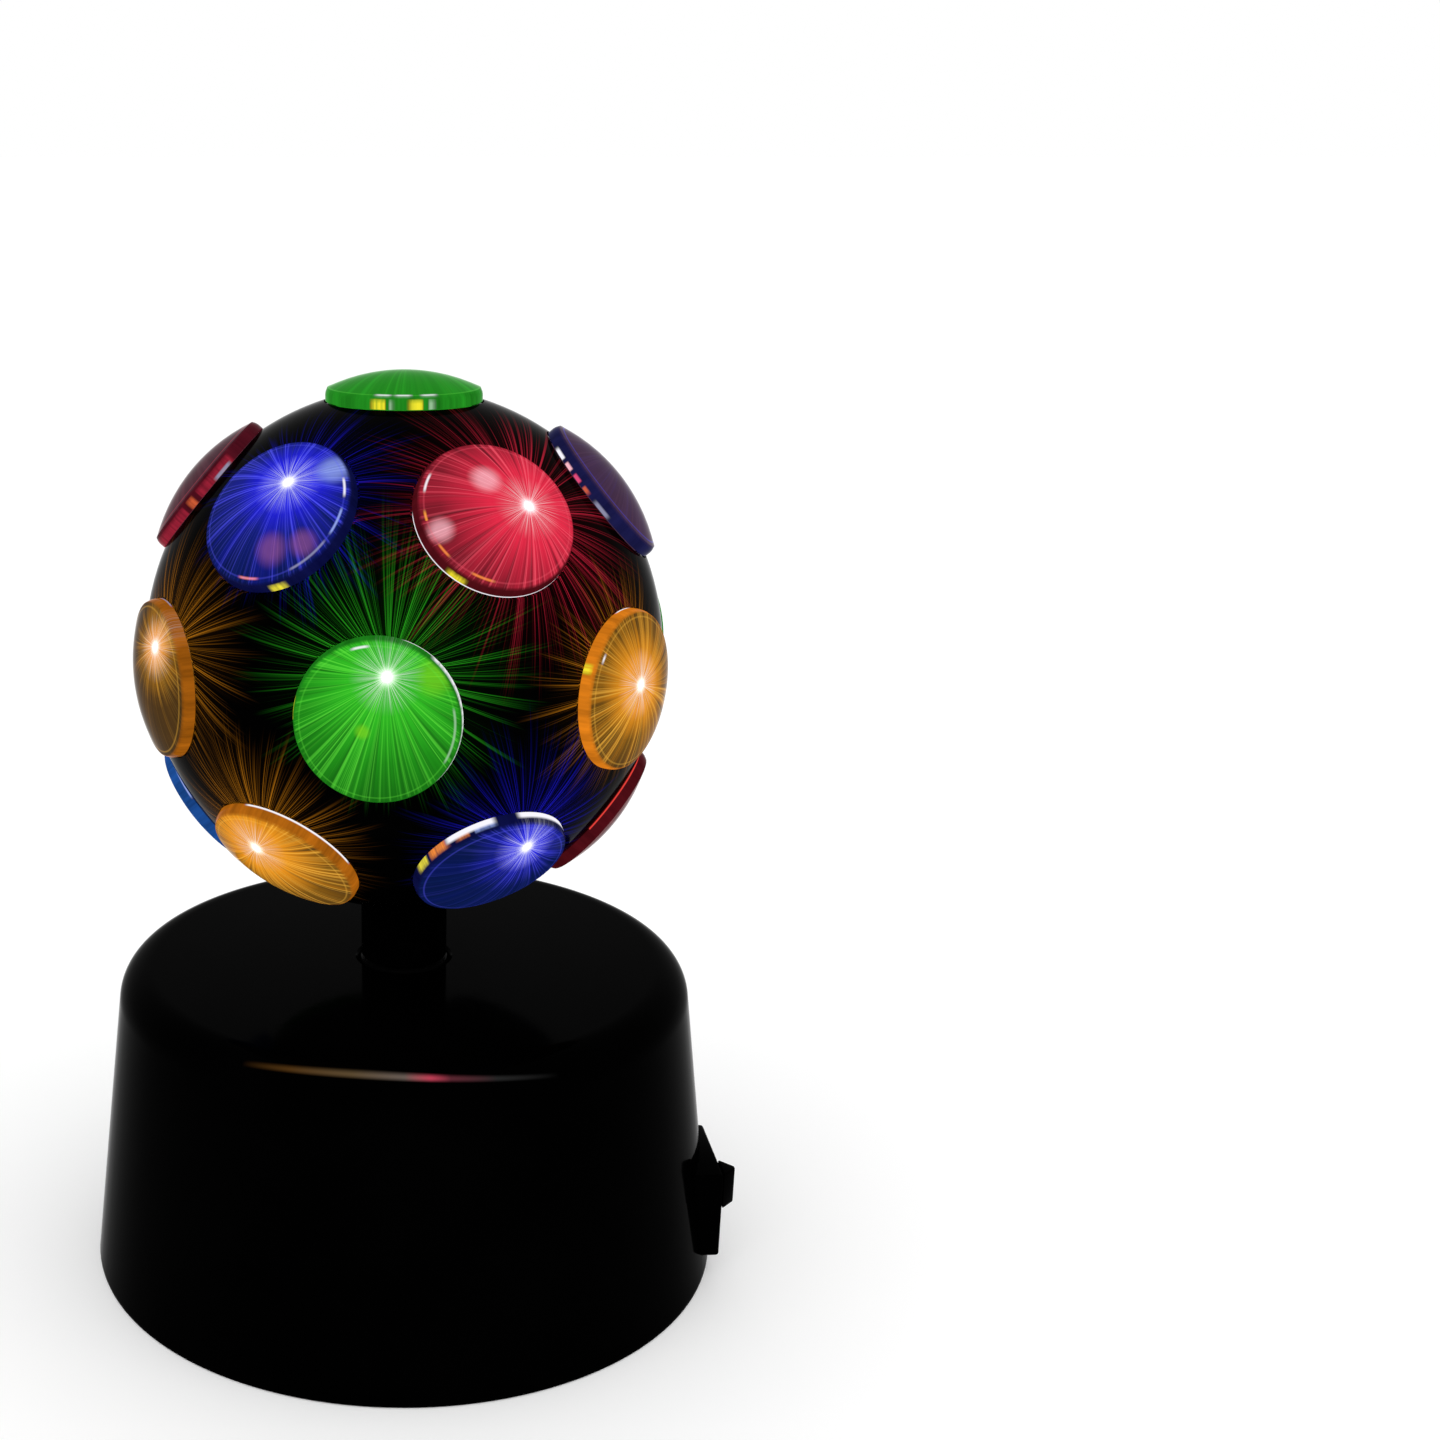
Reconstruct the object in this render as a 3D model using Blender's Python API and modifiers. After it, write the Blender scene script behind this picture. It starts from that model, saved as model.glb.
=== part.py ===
"""Mini party light.

A tapered base carries a turning ball with nineteen domed lenses. A small motor in the base turns
the ball through a compound idler gear, and a fixed hollow stalk in the ball's neck carries the lamp.
All lengths are in metres, +Z is up, and the origin is on the turning axis at the foot of the base.
Base, neck, ball and top lens stand on each other, and with these sizes add up to 110 mm.
"""

import math

import bmesh
import bpy
from mathutils import Matrix, Vector

# Clearances that all pieces share
FIT = 0.0003
RUN = 0.0005
OVERRUN = 0.002

# Base shell
BASE_HEIGHT = 0.03907
BASE_BOTTOM_RADIUS = 0.03983
BASE_TOP_RADIUS = 0.03493
BASE_SHOULDER_RADIUS = 0.00423
BASE_WALL = 0.0020
BASE_SIDES = 40
SHOULDER_STEPS = 3

# Ball and its neck
BALL_RADIUS = 0.03025
BALL_WALL = 0.0016
BALL_SIDES = 32
BALL_RINGS = 5
NECK_RADIUS = 0.0053
NECK_LENGTH = 0.0084627
NECK_FILLET = 0.0012
HUB_RADIUS = 0.0040
HUB_WALL = 0.0011
LIP_HEIGHT = 0.0011
LIP_WALL = 0.0009

# Lenses
LENS_RADIUS = 0.00888
LENS_RIM_HEIGHT = 0.0013
LENS_DOME_HEIGHT = 0.0020
LENS_WALL = 0.0012
LENS_FLANGE = 0.0012
LENS_SPIGOT_DEPTH = 0.0022
LENS_SIDES = 14
RING_COUNT = 6
RING_TURN = math.radians(-5.3)
UPPER_ELEVATION = math.radians(40.4)
LOWER_ELEVATION = math.radians(-39.3)

# Base plate, tray and battery door
PLATE_RECESS = 0.0005
PLATE_THICKNESS = 0.0018
TRAY_WALL = 0.0012
TRAY_TOP = 0.0115
DOOR_THICKNESS = 0.0015
DOOR_TAB_LENGTH = 0.0062
DOOR_TAB_WIDTH = 0.0100
DOOR_BOSS_HEIGHT = 0.0055

# Batteries and contacts
CELL_RADIUS = 0.00725
CELL_LENGTH = 0.0505
CELL_NUB_RADIUS = 0.00275
CELL_NUB_HEIGHT = 0.0010
CELL_COUNT = 3
CONTACT_THICKNESS = 0.0005
CONTACT_HEIGHT = 0.0100
CONTACT_WIDTH = 0.0087
SPRING_LENGTH = 0.0024
SPRING_RADIUS = 0.0032
SPRING_TIP_RADIUS = 0.0020
SPRING_WIRE_RADIUS = 0.00025
SPRING_TURNS = 2
SPRING_POINTS_PER_TURN = 8

# Screws
SCREW_RADIUS = 0.00105
SCREW_HEAD_RADIUS = 0.0020
SCREW_HEAD_HEIGHT = 0.0013
SCREW_BOSS_WALL = 0.0017
BASE_SCREW_LENGTH = 0.0095
DECK_SCREW_LENGTH = 0.0070
DOOR_SCREW_LENGTH = 0.0050
DOOR_SCREW_HEAD_HEIGHT = 0.0007
BASE_SCREW_INSET = 0.001774
BASE_SCREW_ANGLE = math.radians(35)
PLATE_BOSS_TOP = 0.0050
BASE_BOSS_TOP = 0.0140
DECK_SCREW_INSET = 0.0072
DECK_SCREW_COUNT = 3
SCREW_SIDES = 8
BOSS_SIDES = 12

# Drive
GEAR_MODULE = 0.0006
GEAR_WIDTH = 0.0025
GEAR_BACKLASH = 0.00022
ADDENDUM_SHARE = 0.8
DEDENDUM_SHARE = 1.05
PRESSURE_ANGLE = math.radians(20)
DRIVE_TEETH = 40
IDLER_SMALL_TEETH = 10
IDLER_LARGE_TEETH = 35
PINION_TEETH = 10
AXLE_RADIUS = 0.0010
SHAFT_RADIUS = 0.00075
SHAFT_DEPTH = 0.0040
DECK_THICKNESS = 0.0015
DECK_BOSS_HEIGHT = 0.0002
BUSHING_FLANGE = 0.0008
BUSHING_FLANGE_RADIUS = 0.0080
MOTOR_RADIUS = 0.0060
MOTOR_WIDTH = 0.0100
MOTOR_LENGTH = 0.0150
MOTOR_BOSS_RADIUS = 0.0018
MOTOR_BOSS_HEIGHT = 0.0012

# Lamp inside the ball
STALK_RADIUS = 0.0022
STALK_WALL = 0.0009
STALK_FOOT_RADIUS = 0.0050
STALK_FOOT_HEIGHT = 0.0010
BOARD_RADIUS = 0.0082
BOARD_THICKNESS = 0.0012
BOARD_DROP = 0.0055
LED_RADIUS = 0.0040
LED_FLANGE = 0.0008
LED_HEIGHT = 0.0085

# Switch
SWITCH_PROUD = 0.001326
SWITCH_Y = -0.0052
SWITCH_TURN = math.radians(2.9)
SWITCH_WIDTH = 0.0137
SWITCH_BOTTOM = 0.0029
SWITCH_TOP = 0.0144
SWITCH_DEPTH = 0.0061
SWITCH_BEVEL = 0.0004
KNOB_OFFSET = -0.0047
KNOB_WIDTH = 0.0041
KNOB_HEIGHT = 0.0048
KNOB_CREST_WIDTH = 0.0006
KNOB_REACH = 0.00145
KNOB_BEVEL = 0.0003
KNOB_NECK = 0.0022
KNOB_TRAVEL = 0.0040
SWITCH_BODY_WIDTH = 0.0066
SWITCH_BODY_DEPTH = 0.0043
SWITCH_BODY_MARGIN = 0.0006
SWITCH_BODY_WALL = 0.0018

# Leads
LEAD_RADIUS = 0.0005
LEAD_STEPS = 3

# Places worked out from the sizes above
LENS_SEAT = math.sqrt(BALL_RADIUS ** 2 - LENS_RADIUS ** 2)
LENS_HEIGHT = LENS_RIM_HEIGHT + LENS_DOME_HEIGHT
SPIGOT_RADIUS = LENS_RADIUS - LENS_FLANGE
BALL_CENTRE = BASE_HEIGHT + NECK_LENGTH + BALL_RADIUS
BALL_INNER = BALL_RADIUS - BALL_WALL
HUB_INNER = HUB_RADIUS - HUB_WALL
BASE_CEILING = BASE_HEIGHT - BASE_WALL
BUSHING_TOP = BASE_CEILING - FIT
BUSHING_BOTTOM = BUSHING_TOP - BUSHING_FLANGE
DRIVE_TOP = BUSHING_BOTTOM - FIT
DRIVE_BOTTOM = DRIVE_TOP - GEAR_WIDTH
IDLER_TOP = DRIVE_TOP
IDLER_LARGE_TOP = DRIVE_BOTTOM - 4 * FIT
IDLER_BOTTOM = IDLER_LARGE_TOP - GEAR_WIDTH
HUB_BOTTOM = DRIVE_BOTTOM - 2 * FIT
DECK_TOP = IDLER_BOTTOM - FIT - DECK_BOSS_HEIGHT
DECK_BOTTOM = DECK_TOP - DECK_THICKNESS
MOTOR_TOP = DECK_BOTTOM - FIT
MOTOR_BOTTOM = MOTOR_TOP - MOTOR_LENGTH
IDLER_X = -GEAR_MODULE * (DRIVE_TEETH + IDLER_SMALL_TEETH) / 2
MOTOR_X = IDLER_X - GEAR_MODULE * (IDLER_LARGE_TEETH + PINION_TEETH) / 2
PLATE_TOP = PLATE_RECESS + PLATE_THICKNESS
CELL_PITCH = 2 * CELL_RADIUS + FIT
CELL_Z = PLATE_RECESS + DOOR_THICKNESS + FIT + CELL_RADIUS
BAY_HALF_WIDTH = CELL_PITCH * (CELL_COUNT - 1) / 2 + CELL_RADIUS + FIT
BAY_LENGTH = CELL_LENGTH + SPRING_LENGTH + 2 * CONTACT_THICKNESS + 4 * FIT
BAY_HALF_LENGTH = BAY_LENGTH / 2
BOARD_BOTTOM = BALL_CENTRE - BOARD_DROP
STALK_TOP = BOARD_BOTTOM - FIT
STALK_BOTTOM = DECK_BOTTOM - FIT - STALK_FOOT_HEIGHT
SWITCH_HEIGHT = SWITCH_TOP - SWITCH_BOTTOM
SWITCH_Z = (SWITCH_TOP + SWITCH_BOTTOM) / 2
KNOB_Z = SWITCH_TOP - KNOB_HEIGHT / 2
DOOR_SCREW_SEAT = PLATE_RECESS + DOOR_SCREW_HEAD_HEIGHT + FIT
SCREW_HOLE = SCREW_RADIUS + FIT
SCREW_BOSS_RADIUS = SCREW_HOLE + SCREW_BOSS_WALL

MERGE = 0.00001
SHARP_ANGLE = math.radians(32)
FLAT_ANGLE = math.radians(0.1)


def start_scene():
    """Empty the scene and make one collection for the lamp and one for the cutters."""
    for old in list(bpy.data.objects):
        bpy.data.objects.remove(old, do_unlink=True)
    made = []
    for name in ("party_light", "cutters"):
        group = bpy.data.collections.new(name)
        bpy.context.scene.collection.children.link(group)
        made.append(group)
    return made


PARTS, CUTTERS = start_scene()


def material(name, colour, roughness, metallic=0.0, transmission=0.0):
    """A Principled material with the piece's colour."""
    made = bpy.data.materials.new(name)
    made.use_nodes = True
    shader = made.node_tree.nodes["Principled BSDF"]
    shader.inputs["Base Color"].default_value = (*colour, 1.0)
    shader.inputs["Roughness"].default_value = roughness
    shader.inputs["Metallic"].default_value = metallic
    shader.inputs["Transmission Weight"].default_value = transmission
    made.diffuse_color = (*colour, 1.0)
    return made


def part(name, mesh, look, parent=None, matrix=None):
    """Link a mesh as a named piece with a material of its own, under its joint's empty."""
    piece = bpy.data.objects.new(name, mesh)
    PARTS.objects.link(piece)
    piece.parent = parent
    if matrix is not None:
        piece.matrix_basis = matrix
    piece.data.materials.clear()
    piece.data.materials.append(material(name, *look))
    return piece


def cutter(name, mesh, matrix=None):
    """Link a mesh as a hidden cutter."""
    tool = bpy.data.objects.new(name, mesh)
    CUTTERS.objects.link(tool)
    if matrix is not None:
        tool.matrix_basis = matrix
    tool.hide_render = True
    tool.display_type = "WIRE"
    return tool


def combine(piece, tool, operation):
    """Join, cut or intersect a piece with a hidden tool."""
    change = piece.modifiers.new(f"{operation.lower()}_{tool.name}", "BOOLEAN")
    change.operation = operation
    change.solver = "EXACT"
    change.object = tool


def axis_empty(name, place):
    """An empty on a joint's axis, which carries what moves with the joint."""
    pivot = bpy.data.objects.new(name, None)
    PARTS.objects.link(pivot)
    pivot.location = place
    return pivot


def evaluated_mesh(source, smooth=True):
    """The source's mesh with its modifiers applied. The source object is removed."""
    bpy.context.view_layer.update()
    ready = source.evaluated_get(bpy.context.evaluated_depsgraph_get())
    mesh = bpy.data.meshes.new_from_object(ready)
    bpy.data.objects.remove(source, do_unlink=True)
    if smooth:
        mesh.shade_smooth()
        mesh.set_sharp_from_angle(angle=SHARP_ANGLE)
    return mesh


def turned(name, profile, sides, closed=False):
    """A turned mesh. The profile holds (radius, height) pairs and runs down its outer side."""
    count = len(profile)
    points = [(radius, 0.0, height) for radius, height in profile]
    edges = [(i, i + 1) for i in range(count - 1)]
    if closed:
        edges.append((count - 1, 0))
    mesh = bpy.data.meshes.new(name)
    mesh.from_pydata(points, edges, [])
    source = bpy.data.objects.new(name, mesh)
    bpy.context.scene.collection.objects.link(source)
    screw = source.modifiers.new("turn", "SCREW")
    screw.axis = "Z"
    screw.angle = math.tau
    screw.steps = sides
    screw.render_steps = sides
    screw.use_merge_vertices = True
    screw.merge_threshold = MERGE
    return evaluated_mesh(source)


def block(name, size, centre, bevel=0.0):
    """A box mesh with optional rounded edges."""
    mesh = bpy.data.meshes.new(name)
    bm = bmesh.new()
    shape = Matrix.Translation(centre) @ Matrix.Diagonal((*size, 1.0))
    bmesh.ops.create_cube(bm, size=1.0, matrix=shape)
    if bevel:
        bmesh.ops.bevel(bm, geom=list(bm.edges), offset=bevel, segments=2, profile=0.5,
                        affect="EDGES")
    bm.to_mesh(mesh)
    bm.free()
    return mesh


def rods(name, radius, bottom, top, places, sides):
    """Upright cylinders of one radius at several (x, y) places, in one mesh."""
    mesh = bpy.data.meshes.new(name)
    bm = bmesh.new()
    for x, y in places:
        middle = Matrix.Translation((x, y, (bottom + top) / 2))
        bmesh.ops.create_cone(bm, cap_ends=True, segments=sides, radius1=radius,
                              radius2=radius, depth=top - bottom, matrix=middle)
    bm.to_mesh(mesh)
    bm.free()
    mesh.shade_smooth()
    mesh.set_sharp_from_angle(angle=SHARP_ANGLE)
    return mesh


def extruded(name, outline, thickness, matrix=None):
    """A flat outline given as (x, y) points, extruded from height zero to the thickness."""
    curve = bpy.data.curves.new(name, "CURVE")
    curve.dimensions = "2D"
    curve.fill_mode = "BOTH"
    curve.extrude = thickness / 2
    line = curve.splines.new("POLY")
    line.points.add(len(outline) - 1)
    for point, (x, y) in zip(line.points, outline):
        point.co = (x, y, 0.0, 1.0)
    line.use_cyclic_u = True
    source = bpy.data.objects.new(name, curve)
    bpy.context.scene.collection.objects.link(source)
    mesh = evaluated_mesh(source, smooth=False)
    bm = bmesh.new()
    bm.from_mesh(mesh)
    bmesh.ops.remove_doubles(bm, verts=bm.verts, dist=MERGE)
    bmesh.ops.dissolve_limit(bm, angle_limit=FLAT_ANGLE, verts=bm.verts, edges=bm.edges)
    lift = Matrix.Translation((0.0, 0.0, thickness / 2))
    bmesh.ops.transform(bm, matrix=(matrix or Matrix()) @ lift, verts=bm.verts)
    bm.to_mesh(mesh)
    bm.free()
    return mesh


def tube(name, route, radius, resolution):
    """A round wire along a list of points, with filled ends."""
    curve = bpy.data.curves.new(name, "CURVE")
    curve.dimensions = "3D"
    curve.bevel_depth = radius
    curve.bevel_resolution = resolution
    curve.use_fill_caps = True
    line = curve.splines.new("POLY")
    line.points.add(len(route) - 1)
    for point, place in zip(line.points, route):
        point.co = (*place, 1.0)
    source = bpy.data.objects.new(name, curve)
    bpy.context.scene.collection.objects.link(source)
    mesh = evaluated_mesh(source)
    bm = bmesh.new()
    bm.from_mesh(mesh)
    bmesh.ops.remove_doubles(bm, verts=bm.verts, dist=MERGE)
    bm.to_mesh(mesh)
    bm.free()
    return mesh


def smooth_route(points, steps):
    """Points along a smooth curve through the given ones."""
    knots = [Vector(p) for p in points]
    knots = [2 * knots[0] - knots[1], *knots, 2 * knots[-1] - knots[-2]]
    route = []
    for a, b, c, d in zip(knots, knots[1:], knots[2:], knots[3:]):
        for step in range(steps):
            t = step / steps
            route.append((2 * b + t * (c - a) + t * t * (2 * a - 5 * b + 4 * c - d)
                          + t ** 3 * (3 * b - a - 3 * c + d)) / 2)
    route.append(knots[-2])
    return route


def fillet(before, corner, after, radius, steps):
    """Points of an arc that rounds a corner of a profile."""
    corner = Vector(corner)
    back = (Vector(before) - corner).normalized()
    ahead = (Vector(after) - corner).normalized()
    half = back.angle(ahead) / 2
    middle = corner + (back + ahead).normalized() * radius / math.sin(half)
    first = corner + back * radius / math.tan(half) - middle
    last = corner + ahead * radius / math.tan(half) - middle
    sweep = first.angle_signed(last)
    arc = []
    for step in range(steps + 1):
        turn = -sweep * step / steps
        cosine = math.cos(turn)
        sine = math.sin(turn)
        arc.append((middle.x + first.x * cosine - first.y * sine,
                    middle.y + first.x * sine + first.y * cosine))
    return arc


def on_circle(radius, angles):
    """(x, y) places at several angles on a circle about the turning axis."""
    return [(radius * math.cos(a), radius * math.sin(a)) for a in angles]


def outer_radius(height):
    """Outer radius of the base's side at a height."""
    return BASE_BOTTOM_RADIUS - (BASE_BOTTOM_RADIUS - BASE_TOP_RADIUS) * height / BASE_HEIGHT


def inner_radius(height):
    """Inner radius of the base's side at a height."""
    return outer_radius(height) - BASE_WALL


def lens_matrix(azimuth, elevation):
    """Turns +Z to a lens's direction about the ball's centre. Azimuth zero is the front, -Y."""
    tilt = Matrix.Rotation(math.pi / 2 - elevation, 4, "X")
    return Matrix.Rotation(azimuth, 4, "Z") @ tilt


def lens_places():
    """Names and directions of the nineteen lenses."""
    pitch = math.tau / RING_COUNT
    places = [("top_lens", 0.0, math.pi / 2)]
    rings = (("upper", UPPER_ELEVATION, 0.5), ("middle", 0.0, 0.0), ("lower", LOWER_ELEVATION, 0.5))
    for ring, elevation, turn_share in rings:
        for index in range(RING_COUNT):
            azimuth = RING_TURN + pitch * (index + turn_share)
            places.append((f"{ring}_lens_{index + 1}", azimuth, elevation))
    return places


BASE_SCREW_ANGLES = [side * BASE_SCREW_ANGLE + half for half in (0.0, math.pi) for side in (-1, 1)]
DECK_SCREW_ANGLES = [math.tau * index / DECK_SCREW_COUNT for index in range(DECK_SCREW_COUNT)]
BASE_SCREW_CIRCLE = inner_radius(BASE_BOSS_TOP) - BASE_SCREW_INSET
DECK_SCREW_CIRCLE = inner_radius(DECK_TOP) - DECK_SCREW_INSET
BASE_SCREW_PLACES = on_circle(BASE_SCREW_CIRCLE, BASE_SCREW_ANGLES)
DECK_SCREW_PLACES = on_circle(DECK_SCREW_CIRCLE, DECK_SCREW_ANGLES)
DOOR_SCREW_PLACE = (0.0, -BAY_HALF_LENGTH - DOOR_TAB_LENGTH / 2)
SWITCH_FACE_X = outer_radius(SWITCH_TOP) + SWITCH_PROUD
SWITCH_FRAME = (Matrix.Translation((SWITCH_FACE_X, SWITCH_Y, 0.0))
                @ Matrix.Rotation(SWITCH_TURN, 4, "Z"))

BLACK_GLOSS = ((0.004, 0.004, 0.004), 0.12)
BLACK_MATT = ((0.02, 0.02, 0.02), 0.55)
GREY_PLASTIC = ((0.35, 0.35, 0.34), 0.5)
WHITE_PLASTIC = ((0.75, 0.75, 0.72), 0.45)
STEEL = ((0.55, 0.56, 0.58), 0.3, 1.0)
BRASS = ((0.75, 0.56, 0.25), 0.35, 1.0)
CELL_SKIN = ((0.05, 0.10, 0.22), 0.35)
BOARD_GREEN = ((0.02, 0.16, 0.07), 0.5)
LED_CLEAR = ((0.9, 0.9, 0.95), 0.1, 0.0, 0.8)
LEAD_RED = ((0.45, 0.02, 0.02), 0.5)
LENS_GREEN = ((0.02, 0.45, 0.03), 0.1, 0.0, 0.6)
LENS_BLUE = ((0.02, 0.04, 0.75), 0.1, 0.0, 0.6)
LENS_RED = ((0.75, 0.03, 0.06), 0.1, 0.0, 0.6)
LENS_ORANGE = ((0.90, 0.32, 0.02), 0.1, 0.0, 0.6)
UPPER_LOOKS = (LENS_RED, LENS_BLUE, LENS_RED, LENS_BLUE, LENS_RED, LENS_BLUE)
MIDDLE_LOOKS = (LENS_GREEN, LENS_ORANGE, LENS_GREEN, LENS_ORANGE, LENS_GREEN, LENS_ORANGE)
LOWER_LOOKS = (LENS_BLUE, LENS_RED, LENS_BLUE, LENS_GREEN, LENS_BLUE, LENS_ORANGE)
LENS_LOOKS = (LENS_GREEN, *UPPER_LOOKS, *MIDDLE_LOOKS, *LOWER_LOOKS)


def base_shell():
    """The moulded housing with its shoulder, screw bosses, deck posts and switch opening."""
    hole = HUB_RADIUS + HUB_WALL + 2 * FIT
    corner = (BASE_TOP_RADIUS, BASE_HEIGHT)
    foot = (BASE_BOTTOM_RADIUS, 0.0)
    top_edge = (hole, BASE_HEIGHT)
    inner_foot = (inner_radius(0.0), 0.0)
    inner_corner = (inner_radius(BASE_CEILING), BASE_CEILING)
    inner_edge = (hole, BASE_CEILING)
    inner_round = BASE_SHOULDER_RADIUS - BASE_WALL
    profile = [top_edge]
    profile += fillet(top_edge, corner, foot, BASE_SHOULDER_RADIUS, SHOULDER_STEPS)
    profile += [foot, inner_foot]
    profile += fillet(inner_foot, inner_corner, inner_edge, inner_round, SHOULDER_STEPS - 1)
    profile.append(inner_edge)
    shell = part("base_shell", turned("base_shell", profile, BASE_SIDES, closed=True), BLACK_GLOSS)

    boss_bottom = PLATE_BOSS_TOP + FIT
    bosses = rods("shell_bosses", SCREW_BOSS_RADIUS, boss_bottom, BASE_BOSS_TOP,
                  BASE_SCREW_PLACES, BOSS_SIDES)
    combine(shell, cutter("shell_bosses", bosses), "UNION")
    posts = rods("deck_posts", SCREW_BOSS_RADIUS, DECK_TOP + FIT, BASE_CEILING + BASE_WALL / 2,
                 DECK_SCREW_PLACES, BOSS_SIDES)
    combine(shell, cutter("deck_posts", posts), "UNION")
    pilots = rods("base_pilots", SCREW_HOLE, boss_bottom - OVERRUN,
                  boss_bottom + BASE_SCREW_LENGTH - (PLATE_BOSS_TOP - base_screw_seat()) + FIT,
                  BASE_SCREW_PLACES, SCREW_SIDES)
    combine(shell, cutter("base_pilots", pilots), "DIFFERENCE")
    deck_pilots = rods("deck_pilots", SCREW_HOLE, DECK_TOP, DECK_BOTTOM + DECK_SCREW_LENGTH + FIT,
                       DECK_SCREW_PLACES, SCREW_SIDES)
    combine(shell, cutter("deck_pilots", deck_pilots), "DIFFERENCE")
    opening = block("switch_opening",
                    (SWITCH_DEPTH + 2 * OVERRUN, SWITCH_WIDTH + 2 * FIT, SWITCH_HEIGHT + 2 * FIT),
                    (-SWITCH_DEPTH / 2, 0.0, SWITCH_Z))
    combine(shell, cutter("switch_opening", opening, SWITCH_FRAME), "DIFFERENCE")


def base_screw_seat():
    """Height of the ledge that a base screw's head pulls up against."""
    return PLATE_RECESS + SCREW_HEAD_HEIGHT + 4 * FIT


def screws(name, length, seat, places, head_height=SCREW_HEAD_HEIGHT):
    """Screws that go in from below, with their heads under the seat height."""
    head = seat - FIT
    foot = head - head_height
    profile = [(0.0, head + length), (SCREW_RADIUS, head + length), (SCREW_RADIUS, head),
               (SCREW_HEAD_RADIUS, head), (SCREW_HEAD_RADIUS, foot), (0.0, foot)]
    mesh = turned(name, profile, SCREW_SIDES)
    for index, (x, y) in enumerate(places):
        part(f"{name}_{index + 1}", mesh.copy(), STEEL, matrix=Matrix.Translation((x, y, 0.0)))


def base_plate():
    """The closing plate with its battery tray, screw bosses and door opening."""
    rim = inner_radius(PLATE_TOP) - FIT
    plate = part("base_plate", rods("base_plate", rim, PLATE_RECESS, PLATE_TOP, [(0.0, 0.0)],
                                    BASE_SIDES), BLACK_MATT)
    middle = (PLATE_RECESS + TRAY_TOP) / 2
    tray_size = (2 * (BAY_HALF_WIDTH + TRAY_WALL), 2 * (BAY_HALF_LENGTH + TRAY_WALL),
                 TRAY_TOP - PLATE_RECESS - FIT)
    tray = cutter("tray_block", block("tray_block", tray_size, (0.0, 0.0, middle)))
    reach = inner_radius(TRAY_TOP) - FIT
    round_off = rods("tray_limit", reach, -OVERRUN, TRAY_TOP + OVERRUN, [(0.0, 0.0)], BASE_SIDES)
    combine(tray, cutter("tray_limit", round_off), "INTERSECT")
    combine(plate, tray, "UNION")

    bosses = cutter("plate_bosses", rods("plate_bosses", SCREW_BOSS_RADIUS, PLATE_RECESS + FIT,
                                         PLATE_BOSS_TOP, BASE_SCREW_PLACES, BOSS_SIDES))
    reach = inner_radius(PLATE_BOSS_TOP) - FIT
    trim = rods("boss_limit", reach, -OVERRUN, PLATE_BOSS_TOP + OVERRUN, [(0.0, 0.0)], BASE_SIDES)
    combine(bosses, cutter("boss_limit", trim), "INTERSECT")
    combine(plate, bosses, "UNION")

    door_boss_top = PLATE_TOP + DOOR_BOSS_HEIGHT
    half_tab = DOOR_TAB_WIDTH / 2 + FIT
    door_y = -BAY_HALF_LENGTH - DOOR_TAB_LENGTH / 2
    boss = block("door_boss", (2 * half_tab + 2 * TRAY_WALL, DOOR_TAB_LENGTH + TRAY_WALL,
                               door_boss_top - PLATE_RECESS - FIT),
                 (0.0, door_y, (PLATE_RECESS + door_boss_top) / 2))
    combine(plate, cutter("door_boss", boss), "UNION")

    bay = block("battery_bay", (2 * BAY_HALF_WIDTH, 2 * BAY_HALF_LENGTH,
                                TRAY_TOP + 2 * OVERRUN), (0.0, 0.0, TRAY_TOP / 2))
    combine(plate, cutter("battery_bay", bay), "DIFFERENCE")
    recess_top = PLATE_RECESS + DOOR_THICKNESS + FIT
    recess = block("tab_recess", (2 * half_tab, DOOR_TAB_LENGTH + OVERRUN,
                                  recess_top + OVERRUN),
                   (0.0, door_y - FIT + OVERRUN / 2, (recess_top - OVERRUN) / 2))
    combine(plate, cutter("tab_recess", recess), "DIFFERENCE")
    holes = rods("plate_holes", SCREW_HOLE, -OVERRUN, PLATE_BOSS_TOP + OVERRUN,
                 BASE_SCREW_PLACES, SCREW_SIDES)
    combine(plate, cutter("plate_holes", holes), "DIFFERENCE")
    sinks = rods("plate_sinks", SCREW_HEAD_RADIUS + FIT, -OVERRUN, base_screw_seat(),
                 BASE_SCREW_PLACES, SCREW_SIDES)
    combine(plate, cutter("plate_sinks", sinks), "DIFFERENCE")
    pilot = rods("door_pilot", SCREW_HOLE, PLATE_RECESS, DOOR_SCREW_SEAT + DOOR_SCREW_LENGTH,
                 [DOOR_SCREW_PLACE], SCREW_SIDES)
    combine(plate, cutter("door_pilot", pilot), "DIFFERENCE")


def battery_door():
    """The flat door with its screw tab."""
    middle = PLATE_RECESS + DOOR_THICKNESS / 2
    size = (2 * (BAY_HALF_WIDTH - FIT), 2 * (BAY_HALF_LENGTH - FIT), DOOR_THICKNESS)
    door = part("battery_door", block("battery_door", size, (0.0, 0.0, middle)), BLACK_MATT)
    root = -BAY_HALF_LENGTH + OVERRUN
    end = -BAY_HALF_LENGTH - DOOR_TAB_LENGTH + 2 * FIT
    tab = block("door_tab", (DOOR_TAB_WIDTH, root - end, DOOR_THICKNESS),
                (0.0, (root + end) / 2, middle))
    combine(door, cutter("door_tab", tab), "UNION")
    hole = rods("door_hole", SCREW_HOLE, PLATE_RECESS - OVERRUN, PLATE_RECESS + OVERRUN,
                [DOOR_SCREW_PLACE], SCREW_SIDES)
    combine(door, cutter("door_hole", hole), "DIFFERENCE")
    sink = rods("door_sink", SCREW_HEAD_RADIUS + FIT, PLATE_RECESS - OVERRUN, DOOR_SCREW_SEAT,
                [DOOR_SCREW_PLACE], SCREW_SIDES)
    combine(door, cutter("door_sink", sink), "DIFFERENCE")


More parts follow.
